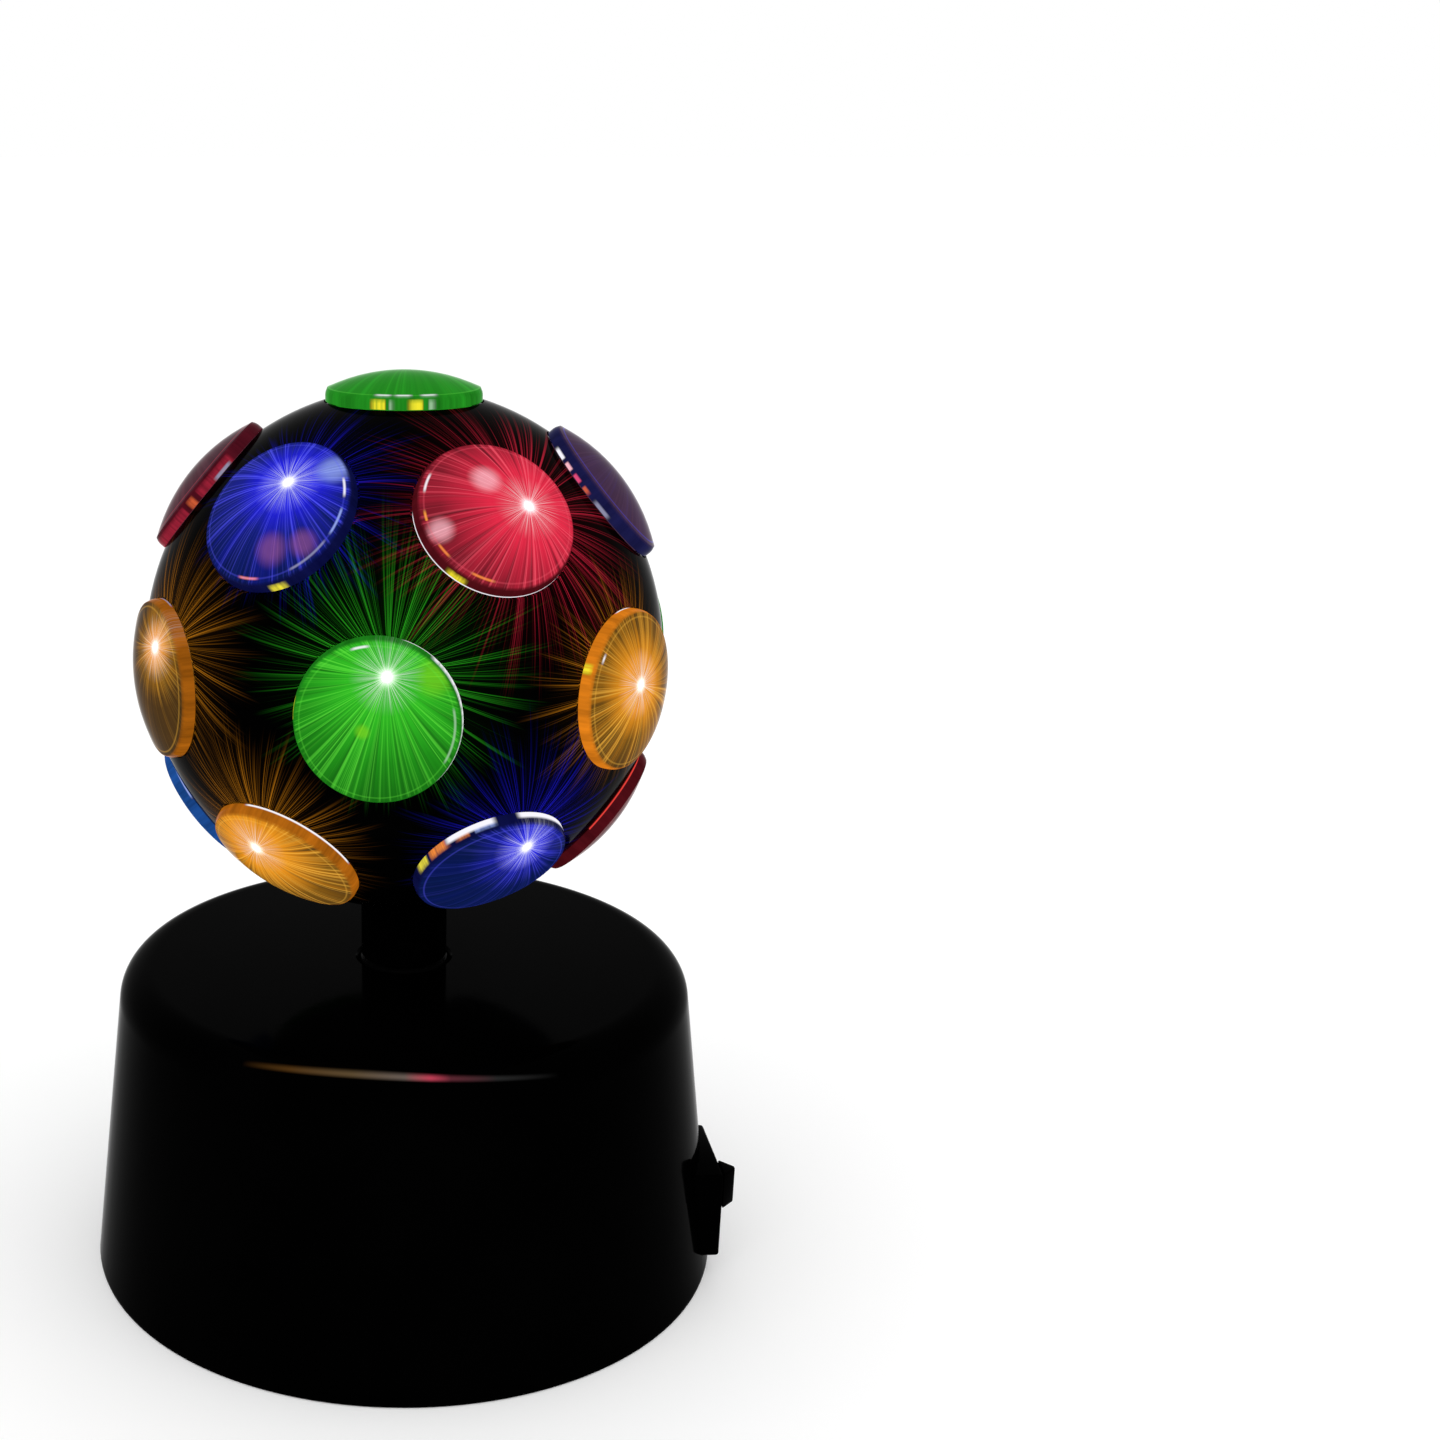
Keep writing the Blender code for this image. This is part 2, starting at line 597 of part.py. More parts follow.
def batteries():
    """Three round cells side by side, each turned end for end from the next."""
    half = CELL_LENGTH / 2
    shoulder = half - CELL_NUB_HEIGHT
    edge = CELL_RADIUS - CELL_NUB_HEIGHT / 2
    profile = [(0.0, half), (CELL_NUB_RADIUS, half), (CELL_NUB_RADIUS, shoulder), (edge, shoulder),
               (CELL_RADIUS, shoulder - CELL_NUB_HEIGHT / 2), (CELL_RADIUS, -half), (0.0, -half)]
    mesh = turned("battery", profile, 2 * SCREW_SIDES)
    shift = BAY_HALF_LENGTH - FIT - CONTACT_THICKNESS - FIT - half
    for index in range(CELL_COUNT):
        side = 1 if index % 2 == 0 else -1
        x = CELL_PITCH * (index - (CELL_COUNT - 1) / 2)
        place = (Matrix.Translation((x, side * shift, CELL_Z))
                 @ Matrix.Rotation(-side * math.pi / 2, 4, "X"))
        part(f"battery_{index + 1}", mesh.copy(), CELL_SKIN, matrix=place)


def contacts():
    """Flat contact plates at both ends of the bay, and the springs on the cells' flat ends."""
    y = BAY_HALF_LENGTH - FIT - CONTACT_THICKNESS / 2
    spread = (CELL_COUNT - 1) / 2 * CELL_PITCH
    number = 0
    for side in (1, -1):
        for width, x in ((CONTACT_WIDTH + CELL_PITCH, -side * CELL_PITCH / 2),
                         (CONTACT_WIDTH, side * spread)):
            number += 1
            plate = block("contact_plate", (width, CONTACT_THICKNESS, CONTACT_HEIGHT),
                          (x, side * y, CELL_Z))
            part(f"contact_plate_{number}", plate, STEEL)

    reach = BAY_HALF_LENGTH - FIT - CONTACT_THICKNESS - FIT - SPRING_WIRE_RADIUS
    length = SPRING_LENGTH - 2 * FIT - 2 * SPRING_WIRE_RADIUS
    steps = SPRING_TURNS * SPRING_POINTS_PER_TURN
    for index in range(CELL_COUNT):
        side = -1 if index % 2 == 0 else 1
        x = CELL_PITCH * (index - (CELL_COUNT - 1) / 2)
        route = []
        for step in range(steps + 1):
            share = step / steps
            turn = math.tau * SPRING_TURNS * share
            radius = SPRING_RADIUS + (SPRING_TIP_RADIUS - SPRING_RADIUS) * share
            route.append((x + radius * math.cos(turn), side * (reach - length * share),
                          CELL_Z + radius * math.sin(turn)))
        part(f"contact_spring_{index + 1}", tube("contact_spring", route, SPRING_WIRE_RADIUS, 0),
             STEEL)


def gear_outline(teeth, phase, flank_steps):
    """Points of a gear's outline with involute flanks, thinned by the backlash."""
    pitch_radius = GEAR_MODULE * teeth / 2
    base_radius = pitch_radius * math.cos(PRESSURE_ANGLE)
    tip_radius = pitch_radius + ADDENDUM_SHARE * GEAR_MODULE
    root_radius = pitch_radius - DEDENDUM_SHARE * GEAR_MODULE
    thin = GEAR_BACKLASH / (2 * pitch_radius)
    start = math.tan(PRESSURE_ANGLE) - PRESSURE_ANGLE

    def half_angle(radius):
        pressure = math.acos(min(1.0, base_radius / radius))
        return math.pi / (2 * teeth) - thin + start - math.tan(pressure) + pressure

    depth = tip_radius - root_radius
    radii = [root_radius + depth * step / flank_steps for step in range(flank_steps + 1)]
    flank = [(radius, half_angle(radius)) for radius in radii]
    outline = []
    for tooth in range(teeth):
        centre = phase + math.tau * tooth / teeth
        sides = [(r, -a) for r, a in flank] + [(r, a) for r, a in reversed(flank)]
        for radius, angle in sides:
            outline.append((radius * math.cos(centre + angle), radius * math.sin(centre + angle)))
    return outline


def gear_mesh(name, teeth, flank_steps, bottom):
    """A spur gear about the local Z axis."""
    lift = Matrix.Translation((0.0, 0.0, bottom))
    return extruded(name, gear_outline(teeth, 0.0, flank_steps), GEAR_WIDTH, lift)


def drive(ball_axis, idler_axis, rotor_axis):
    """The drive gear on the hub, the compound idler and the motor's pinion."""
    gear = part("drive_gear", gear_mesh("drive_gear", DRIVE_TEETH, 1, DRIVE_BOTTOM - BALL_CENTRE),
                WHITE_PLASTIC, ball_axis)
    bore = rods("drive_bore", HUB_RADIUS + FIT, DRIVE_BOTTOM - OVERRUN, DRIVE_TOP + OVERRUN,
                [(0.0, 0.0)], 2 * SCREW_SIDES)
    combine(gear, cutter("drive_bore", bore), "DIFFERENCE")

    idler = part("idler_gear", gear_mesh("idler_gear", IDLER_LARGE_TEETH, 1, IDLER_BOTTOM),
                 WHITE_PLASTIC, idler_axis)
    half_tooth = math.pi / IDLER_SMALL_TEETH
    small = extruded("idler_small", gear_outline(IDLER_SMALL_TEETH, half_tooth, 2),
                     IDLER_TOP - IDLER_BOTTOM - FIT,
                     Matrix.Translation((IDLER_X, 0.0, IDLER_BOTTOM + FIT)))
    combine(idler, cutter("idler_small", small), "UNION")
    hole = rods("idler_bore", AXLE_RADIUS + FIT, IDLER_BOTTOM - OVERRUN, IDLER_TOP + OVERRUN,
                [(IDLER_X, 0.0)], 2 * SCREW_SIDES)
    combine(idler, cutter("idler_bore", hole), "DIFFERENCE")

    pinion = part("motor_pinion", gear_mesh("motor_pinion", PINION_TEETH, 2, IDLER_BOTTOM),
                  BRASS, rotor_axis)
    shaft_hole = rods("pinion_bore", SHAFT_RADIUS + FIT, IDLER_BOTTOM - OVERRUN,
                      IDLER_TOP + OVERRUN, [(MOTOR_X, 0.0)], SCREW_SIDES)
    combine(pinion, cutter("pinion_bore", shaft_hole), "DIFFERENCE")
    shaft_bottom = MOTOR_TOP + MOTOR_BOSS_HEIGHT - SHAFT_DEPTH
    part("motor_shaft", rods("motor_shaft", SHAFT_RADIUS, shaft_bottom, IDLER_LARGE_TOP + RUN,
                             [(0.0, 0.0)], SCREW_SIDES), STEEL, rotor_axis)
    part("idler_axle", rods("idler_axle", AXLE_RADIUS, DECK_BOTTOM, BUSHING_TOP,
                            [(IDLER_X, 0.0)], 2 * SCREW_SIDES), STEEL)


def motor():
    """A small can motor with two flats, hung under the deck."""
    shape = rods("motor", MOTOR_RADIUS, MOTOR_BOTTOM, MOTOR_TOP, [(MOTOR_X, 0.0)], 3 * SCREW_SIDES)
    can = part("motor", shape, STEEL)
    flats = block("motor_flats", (MOTOR_WIDTH, 4 * MOTOR_RADIUS, 2 * MOTOR_LENGTH),
                  (MOTOR_X, 0.0, MOTOR_BOTTOM))
    combine(can, cutter("motor_flats", flats), "INTERSECT")
    nose = rods("motor_nose", MOTOR_BOSS_RADIUS, MOTOR_TOP - OVERRUN, MOTOR_TOP + MOTOR_BOSS_HEIGHT,
                [(MOTOR_X, 0.0)], 2 * SCREW_SIDES)
    combine(can, cutter("motor_nose", nose), "UNION")
    bore = rods("motor_bore", SHAFT_RADIUS + FIT, MOTOR_TOP + MOTOR_BOSS_HEIGHT - SHAFT_DEPTH - FIT,
                MOTOR_TOP + MOTOR_BOSS_HEIGHT + OVERRUN, [(MOTOR_X, 0.0)], SCREW_SIDES)
    combine(can, cutter("motor_bore", bore), "DIFFERENCE")


def gear_deck():
    """The plate that carries the motor, the idler's axle and the lamp's stalk."""
    radius = inner_radius(DECK_TOP) - 2 * FIT
    deck = part("gear_deck", rods("gear_deck", radius, DECK_BOTTOM, DECK_TOP, [(0.0, 0.0)],
                                  BASE_SIDES), GREY_PLASTIC)
    boss = rods("axle_boss", 2 * AXLE_RADIUS + 2 * FIT, DECK_BOTTOM + FIT, DECK_TOP + DECK_BOSS_HEIGHT,
                [(IDLER_X, 0.0)], 2 * SCREW_SIDES)
    combine(deck, cutter("axle_boss", boss), "UNION")
    holes = (("axle_hole", AXLE_RADIUS, (IDLER_X, 0.0)),
             ("nose_hole", MOTOR_BOSS_RADIUS, (MOTOR_X, 0.0)),
             ("stalk_hole", STALK_RADIUS, (0.0, 0.0)))
    for name, size, place in holes:
        hole = rods(name, size + FIT, DECK_BOTTOM - OVERRUN, DECK_TOP + OVERRUN, [place],
                    BOSS_SIDES)
        combine(deck, cutter(name, hole), "DIFFERENCE")
    screw_holes = rods("deck_holes", SCREW_HOLE, DECK_BOTTOM - OVERRUN, DECK_TOP + OVERRUN,
                       DECK_SCREW_PLACES, SCREW_SIDES)
    combine(deck, cutter("deck_holes", screw_holes), "DIFFERENCE")


def hub_bushing():
    """The flanged bearing bush in the base's top, which the ball's neck turns in."""
    bore = HUB_RADIUS + FIT
    sleeve = HUB_RADIUS + HUB_WALL + FIT
    profile = [(sleeve, BASE_HEIGHT), (sleeve, BUSHING_TOP), (BUSHING_FLANGE_RADIUS, BUSHING_TOP),
               (BUSHING_FLANGE_RADIUS, BUSHING_BOTTOM), (bore, BUSHING_BOTTOM), (bore, BASE_HEIGHT)]
    part("hub_bushing", turned("hub_bushing", profile, 3 * SCREW_SIDES, closed=True), WHITE_PLASTIC)


def lamp():
    """The fixed hollow stalk, the round board at its top and the lamp on the board."""
    bore = STALK_RADIUS - STALK_WALL
    foot_top = STALK_BOTTOM + STALK_FOOT_HEIGHT
    profile = [(STALK_RADIUS, STALK_TOP), (STALK_RADIUS, foot_top), (STALK_FOOT_RADIUS, foot_top),
               (STALK_FOOT_RADIUS, STALK_BOTTOM), (bore, STALK_BOTTOM), (bore, STALK_TOP)]
    part("led_stalk", turned("led_stalk", profile, 2 * SCREW_SIDES, closed=True), GREY_PLASTIC)

    board_top = BOARD_BOTTOM + BOARD_THICKNESS
    ring = [(BOARD_RADIUS, board_top), (BOARD_RADIUS, BOARD_BOTTOM), (bore, BOARD_BOTTOM),
            (bore, board_top)]
    part("led_board", turned("led_board", ring, 2 * SCREW_SIDES, closed=True), BOARD_GREEN)

    bottom = board_top + FIT
    top = bottom + LED_HEIGHT
    dome = top - LED_RADIUS
    lean = math.sqrt(0.5) * LED_RADIUS
    flange = LED_RADIUS + LED_FLANGE
    shape = [(0.0, top), (lean, dome + lean), (LED_RADIUS, dome), (LED_RADIUS, bottom + LED_FLANGE),
             (flange, bottom + LED_FLANGE), (flange, bottom), (0.0, bottom)]
    part("led", turned("led", shape, 2 * SCREW_SIDES), LED_CLEAR)


def lens_cutter(name, radius, bottom, top):
    """One cylinder for each lens, all in one mesh, about the ball's centre."""
    mesh = bpy.data.meshes.new(name)
    bm = bmesh.new()
    middle = Matrix.Translation((0.0, 0.0, (bottom + top) / 2))
    for _, azimuth, elevation in lens_places():
        bmesh.ops.create_cone(bm, cap_ends=True, segments=LENS_SIDES, radius1=radius,
                              radius2=radius, depth=top - bottom,
                              matrix=lens_matrix(azimuth, elevation) @ middle)
    bm.to_mesh(mesh)
    bm.free()
    return cutter(name, mesh, Matrix.Translation((0.0, 0.0, BALL_CENTRE)))


def sphere_arc(radius, top, bottom, rings):
    """(radius, height) points down the side of a sphere between two angles of elevation."""
    angles = [top + (bottom - top) * i / rings for i in range(rings + 1)]
    return [(radius * math.cos(a), radius * math.sin(a)) for a in angles]


def ball(ball_axis):
    """The two halves of the ball, the lower one with its lip, neck and hub tube."""
    seam = FIT / 2
    outer_seam = math.asin(seam / BALL_RADIUS)
    inner_seam = math.asin(seam / BALL_INNER)
    profile = [(0.0, BALL_RADIUS)]
    profile += sphere_arc(BALL_RADIUS, math.pi / 2, outer_seam, BALL_RINGS)[1:]
    profile += reversed(sphere_arc(BALL_INNER, math.pi / 2, inner_seam, BALL_RINGS)[1:])
    profile.append((0.0, BALL_INNER))
    upper = part("ball_upper_half", turned("ball_upper_half", profile, BALL_SIDES), BLACK_GLOSS,
                 ball_axis)

    lip_outer = BALL_INNER - FIT - seam
    lip_inner = lip_outer - LIP_WALL
    lip_root = -seam - LIP_WALL
    lip_angle = math.asin(lip_root / BALL_INNER)
    shoulder = BASE_HEIGHT + FIT - BALL_CENTRE
    neck_fillet = NECK_RADIUS + NECK_FILLET
    outer_end = -math.acos(neck_fillet / BALL_RADIUS)
    inner_end = -math.acos((HUB_INNER + HUB_WALL) / BALL_INNER)
    fillet_foot = BALL_RADIUS * math.sin(outer_end) - NECK_FILLET
    hub_bottom = HUB_BOTTOM - BALL_CENTRE
    inner_foot = BALL_INNER * math.sin(inner_end) - HUB_WALL
    profile = sphere_arc(BALL_RADIUS, -outer_seam, outer_end, BALL_RINGS)
    profile += [(NECK_RADIUS, fillet_foot), (NECK_RADIUS, shoulder), (HUB_RADIUS, shoulder),
                (HUB_RADIUS, hub_bottom), (HUB_INNER, hub_bottom), (HUB_INNER, inner_foot)]
    profile += reversed(sphere_arc(BALL_INNER, lip_angle, inner_end, BALL_RINGS))
    profile += [(lip_inner, lip_root), (lip_inner, LIP_HEIGHT), (lip_outer, LIP_HEIGHT),
                (lip_outer, -seam)]
    lower = part("ball_lower_half",
                 turned("ball_lower_half", profile, BALL_SIDES, closed=True), BLACK_GLOSS, ball_axis)

    reach = LENS_SEAT - FIT
    holes = lens_cutter("lens_holes", SPIGOT_RADIUS + FIT, LENS_SEAT - LENS_SPIGOT_DEPTH - OVERRUN,
                        BALL_RADIUS + OVERRUN)
    seats = lens_cutter("lens_seats", LENS_RADIUS + FIT / 2, reach, BALL_RADIUS + OVERRUN)
    for half in (upper, lower):
        combine(half, holes, "DIFFERENCE")
        combine(half, seats, "DIFFERENCE")


def lenses(ball_axis):
    """Nineteen hollow domed lenses with a straight rim and a spigot."""
    inner = SPIGOT_RADIUS - LENS_WALL
    bow = LENS_DOME_HEIGHT
    curve_radius = (LENS_RADIUS ** 2 + bow ** 2) / (2 * bow)
    middle = LENS_RADIUS * math.sqrt(0.5)
    middle_height = LENS_HEIGHT - curve_radius + math.sqrt(curve_radius ** 2 - middle ** 2)
    ceiling = LENS_RIM_HEIGHT + bow * (1 - (inner / LENS_RADIUS) ** 2) - LENS_WALL
    profile = [(0.0, LENS_HEIGHT), (middle, middle_height), (LENS_RADIUS, LENS_RIM_HEIGHT),
               (LENS_RADIUS, 0.0), (SPIGOT_RADIUS, 0.0), (SPIGOT_RADIUS, -LENS_SPIGOT_DEPTH),
               (inner, -LENS_SPIGOT_DEPTH), (inner, ceiling), (0.0, LENS_HEIGHT - LENS_WALL)]
    mesh = turned("lens", profile, LENS_SIDES)
    seat = Matrix.Translation((0.0, 0.0, LENS_SEAT))
    for (name, azimuth, elevation), look in zip(lens_places(), LENS_LOOKS):
        part(name, mesh.copy(), look, ball_axis, lens_matrix(azimuth, elevation) @ seat)


def switch(slide_axis):
    """The slide switch: the housing in the wall, the knob that slides, and the body behind."""
    height = SWITCH_HEIGHT
    shape = block("switch_housing", (SWITCH_DEPTH, SWITCH_WIDTH, height),
                  (-SWITCH_DEPTH / 2, 0.0, SWITCH_Z), SWITCH_BEVEL)
    housing = part("switch_housing", shape, BLACK_GLOSS, matrix=SWITCH_FRAME)
    slot_height = KNOB_NECK + KNOB_TRAVEL + 2 * FIT
    slot_middle = KNOB_Z - KNOB_TRAVEL / 2
    slot_width = KNOB_NECK + 2 * FIT
    slot = block("switch_slot", (2 * SWITCH_DEPTH + SWITCH_BODY_DEPTH, slot_width, slot_height),
                 (-SWITCH_DEPTH, KNOB_OFFSET, slot_middle))
    combine(housing, cutter("switch_slot", slot, SWITCH_FRAME), "DIFFERENCE")

    back = -SWITCH_DEPTH - FIT
    body_height = height - 2 * SWITCH_BODY_MARGIN
    body = part("switch_body", block("switch_body", (SWITCH_BODY_DEPTH, SWITCH_BODY_WIDTH, body_height),
                                     (back - SWITCH_BODY_DEPTH / 2, KNOB_OFFSET, SWITCH_Z)),
                STEEL, matrix=SWITCH_FRAME)
    pocket_depth = SWITCH_BODY_DEPTH - SWITCH_BODY_WALL
    pocket = block("switch_pocket", (2 * pocket_depth, slot_width, slot_height),
                   (back, KNOB_OFFSET, slot_middle))
    combine(body, cutter("switch_pocket", pocket, SWITCH_FRAME), "DIFFERENCE")

    half = KNOB_WIDTH / 2
    crest = KNOB_CREST_WIDTH / 2
    outline = [(FIT, -half), (FIT + KNOB_BEVEL, -half), (KNOB_REACH + FIT, -crest),
               (KNOB_REACH + FIT, crest), (FIT + KNOB_BEVEL, half), (FIT, half)]
    local = SWITCH_FRAME @ Matrix.Translation((0.0, KNOB_OFFSET, 0.0))
    shape = extruded("switch_knob", outline, KNOB_HEIGHT,
                     Matrix.Translation((0.0, 0.0, -KNOB_HEIGHT / 2)))
    knob = part("switch_knob", shape, BLACK_GLOSS, slide_axis,
                Matrix.Rotation(SWITCH_TURN, 4, "Z"))
    rounding = knob.modifiers.new("rounding", "BEVEL")
    rounding.width = KNOB_BEVEL
    rounding.segments = 1
    rounding.limit_method = "ANGLE"
    neck_end = back - pocket_depth + FIT
    neck_length = KNOB_BEVEL + FIT - neck_end
    neck = block("knob_neck", (neck_length, KNOB_NECK, KNOB_NECK),
                 (neck_end + neck_length / 2, 0.0, KNOB_Z))
    combine(knob, cutter("knob_neck", neck, local), "UNION")


def leads():
    """The wires from the lamp, the motor and the battery contacts to the switch."""
    face = -SWITCH_DEPTH - 2 * FIT - SWITCH_BODY_DEPTH
    spread = SWITCH_BODY_WIDTH / 3
    landing = SWITCH_TOP - SWITCH_HEIGHT / 4
    bend = 3 * LEAD_RADIUS
    over = (CELL_Z + CELL_RADIUS + STALK_BOTTOM) / 2
    ends = []
    for slot in (1, 0, -1):
        tip = SWITCH_FRAME @ Vector((face, KNOB_OFFSET + slot * spread, landing))
        ends.append([tip + Vector((-bend, 0.0, 2 * bend)), tip + Vector((-bend, 0.0, bend / 2)), tip])
    half_bay = BAY_HALF_WIDTH / 2
    lamp_route = [(0.0, 0.0, STALK_TOP - FIT), (0.0, 0.0, DECK_BOTTOM), (0.0, 0.0, STALK_BOTTOM - bend),
                  (bend, -bend, over), (half_bay, ends[0][0].y / 2, over)]
    motor_route = [(MOTOR_X, 0.0, MOTOR_BOTTOM - FIT - LEAD_RADIUS),
                   (MOTOR_X, -MOTOR_RADIUS - bend, MOTOR_BOTTOM), (MOTOR_X, -MOTOR_RADIUS - 2 * bend, over),
                   (-half_bay, -BAY_HALF_LENGTH / 2, over), (half_bay, -BAY_HALF_LENGTH / 2, over)]
    contact_top = CELL_Z + CONTACT_HEIGHT / 2 + FIT
    y = -BAY_HALF_LENGTH + FIT + CONTACT_THICKNESS / 2
    cell_route = [(CELL_PITCH, y, contact_top), (CELL_PITCH + bend, y, over),
                  (BAY_HALF_WIDTH + bend, y / 2 + ends[2][0].y / 2, over)]
    routes = (("led_lead", lamp_route), ("motor_lead", motor_route), ("battery_lead", cell_route))
    for (name, route), end in zip(routes, ends):
        points = smooth_route(route + end, LEAD_STEPS)
        part(name, tube(name, points, LEAD_RADIUS, 0), LEAD_RED)


def build():
    """Make every piece of the lamp."""
    ball_axis = axis_empty("ball_axis", (0.0, 0.0, BALL_CENTRE))
    idler_axis = axis_empty("idler_axis", (IDLER_X, 0.0, 0.0))
    rotor_axis = axis_empty("rotor_axis", (MOTOR_X, 0.0, 0.0))
    knob_place = SWITCH_FRAME @ Vector((0.0, KNOB_OFFSET, KNOB_Z))
    slide_axis = axis_empty("slide_axis", knob_place)
    base_shell()
    base_plate()
    battery_door()
    batteries()
    contacts()
    screws("base_screw", BASE_SCREW_LENGTH, base_screw_seat(), BASE_SCREW_PLACES)
    screws("deck_screw", DECK_SCREW_LENGTH, DECK_BOTTOM, DECK_SCREW_PLACES)
    screws("door_screw", DOOR_SCREW_LENGTH, DOOR_SCREW_SEAT, [DOOR_SCREW_PLACE],
           DOOR_SCREW_HEAD_HEIGHT)
    gear_deck()
    motor()
    drive(ball_axis, idler_axis, rotor_axis)
    hub_bushing()
    lamp()
    ball(ball_axis)
    lenses(ball_axis)
    switch(slide_axis)
    leads()


build()
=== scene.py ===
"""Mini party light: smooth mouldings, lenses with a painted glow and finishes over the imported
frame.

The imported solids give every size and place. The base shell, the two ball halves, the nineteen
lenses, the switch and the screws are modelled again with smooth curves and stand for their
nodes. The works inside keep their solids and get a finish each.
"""

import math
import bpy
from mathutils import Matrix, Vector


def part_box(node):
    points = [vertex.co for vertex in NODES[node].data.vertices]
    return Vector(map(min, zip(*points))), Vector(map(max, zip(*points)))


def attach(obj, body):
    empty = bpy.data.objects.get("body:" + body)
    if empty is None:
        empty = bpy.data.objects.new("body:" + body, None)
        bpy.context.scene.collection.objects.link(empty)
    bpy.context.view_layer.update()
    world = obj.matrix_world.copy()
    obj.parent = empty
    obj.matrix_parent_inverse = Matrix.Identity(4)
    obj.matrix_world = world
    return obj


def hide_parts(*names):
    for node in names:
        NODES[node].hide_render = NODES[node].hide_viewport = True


bl_info = {
    "name": "Mini Party Light",
    "version": (1, 0, 0),
    "blender": (4, 5, 0),
    "location": "View3D > Sidebar > Party Light",
    "description": "Models and finishes a small battery party light on its packed frame",
    "category": "Add Mesh",
}

import bmesh
import bpy
from bpy.props import FloatProperty, FloatVectorProperty, IntProperty, PointerProperty
from mathutils import Matrix, Vector

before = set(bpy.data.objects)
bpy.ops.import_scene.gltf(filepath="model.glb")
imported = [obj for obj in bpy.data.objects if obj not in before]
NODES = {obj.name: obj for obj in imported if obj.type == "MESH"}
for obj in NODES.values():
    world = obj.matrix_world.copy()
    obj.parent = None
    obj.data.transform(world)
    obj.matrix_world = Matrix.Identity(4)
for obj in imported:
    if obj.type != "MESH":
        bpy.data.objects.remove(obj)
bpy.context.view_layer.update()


def middle(node):
    """The centre of a node's box."""
    low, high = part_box(node)
    return (low + high) / 2


# Gaps: between the solids, and the closer ones that let no light through
FIT = 0.0003
CLOSE_FIT = FIT / 6
SEAM_GAP = FIT / 30

# Places and sizes read from the frame
BASE_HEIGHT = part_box("base_shell")[1].z
BASE_FOOT_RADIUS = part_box("base_shell")[1].y
BALL_CENTRE = middle("middle_lens_1").z
NECK_FOOT = BASE_HEIGHT + FIT
HUB_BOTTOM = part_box("ball_lower_half")[0].z
SWITCH_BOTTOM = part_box("switch_housing")[0].z
SWITCH_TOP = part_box("switch_housing")[1].z

# Distances within which points are the same or are merged
SAME_PLACE = 1e-6
MERGE_DISTANCE = 0.000002

# Steps in rounded edges, and the angles in degrees past which an edge stays sharp
SHOULDER_STEPS = 14
FILLET_STEPS = 6
SHELL_ANGLE = 32.0
PART_ANGLE = 40.0
SCREW_ANGLE = 30.0

# Directions of the three rings of lenses about the ball's centre
RING_COUNT = 6
RING_TURN = math.radians(-5.3)
UPPER_ELEVATION = math.radians(40.4)
LOWER_ELEVATION = math.radians(-39.3)

# Place of the slide switch in the base's side
SWITCH_X = 0.03935
SWITCH_Y = -0.0052
SWITCH_FRAME = (Matrix.Translation((SWITCH_X, SWITCH_Y, 0.0))
                @ Matrix.Rotation(math.radians(2.9), 4, "Z"))

# Fine sizes of the neck's foot and flare, the screws, and the extra depth of the switch's opening
NECK_FLARE = 0.0016
NECK_EDGE = 0.0002
STEM_EDGE = 0.0001
OPENING_EXTRA = 0.004
SCREW_SIDES = 32
SCREW_SHANK = 0.00105
DOOR_SCREW_HEAD = 0.0007
SCREW_HEAD = 0.0013

# Shares of the lens's radius at which its dome and its hollow have a ring of points
DOME_SHARES = (0.955, 0.93, 0.92, 0.85, 0.72, 0.58, 0.44, 0.3, 0.17, 0.06)
HOLLOW_SHARES = (0.2, 0.6, 0.95)

# Shares of the lens's radius between which its dome gives way to the wall of its rim
RIM_START = 0.985
RIM_END = 0.992

# How far the ray pattern shifts from one lens to the next, in its dome and over the ball
LENS_SEED_START = 0.4
LENS_SEED_STEP = 2.3
BALL_SEED_STEP = 1.7

# The painted reflection, a streak of light on the base's shoulder: its ends about the axis, how far
# it is turned and sags away from its middle, its depth below the top and half its width
STREAK_ENDS = (-0.56, 0.52)
STREAK_TURN = math.radians(8.0)
STREAK_SAG = 0.0031
STREAK_DEPTH = 0.00047
STREAK_HALF_WIDTH = 0.00034

# Where a cell's copper band starts, and the spacing and place of the board's traces
BAND_START = (0.0098, 0.0102)
TRACE_PITCH = 0.0008
TRACE_EDGE = (0.00062, 0.00066)

# The photograph's camera
CAMERA_PLACE = (0.0, -0.223065, 0.133143)
CAMERA_DIP = math.radians(21.13)
CAMERA_LENS = 48.351
CAMERA_SHIFT = (0.21944, 0.12204)

# The two soft lamps
LAMP_SIZE = 0.5
LAMPS = {"left_lamp": (-0.55, -0.45, 0.65), "right_lamp": (0.6, -0.35, 0.55)}

BLACK = (0.0, 0.0, 0.0)
WHITE = (1.0, 1.0, 1.0)


def screen_colour(red, green, blue):
    """A colour given in screen values from 0 to 255, as linear light."""
    linear = []
    for value in (red, green, blue):
        share = value / 255
        linear.append(share / 12.92 if share <= 0.04045 else ((share + 0.055) / 1.055) ** 2.4)
    return tuple(linear)
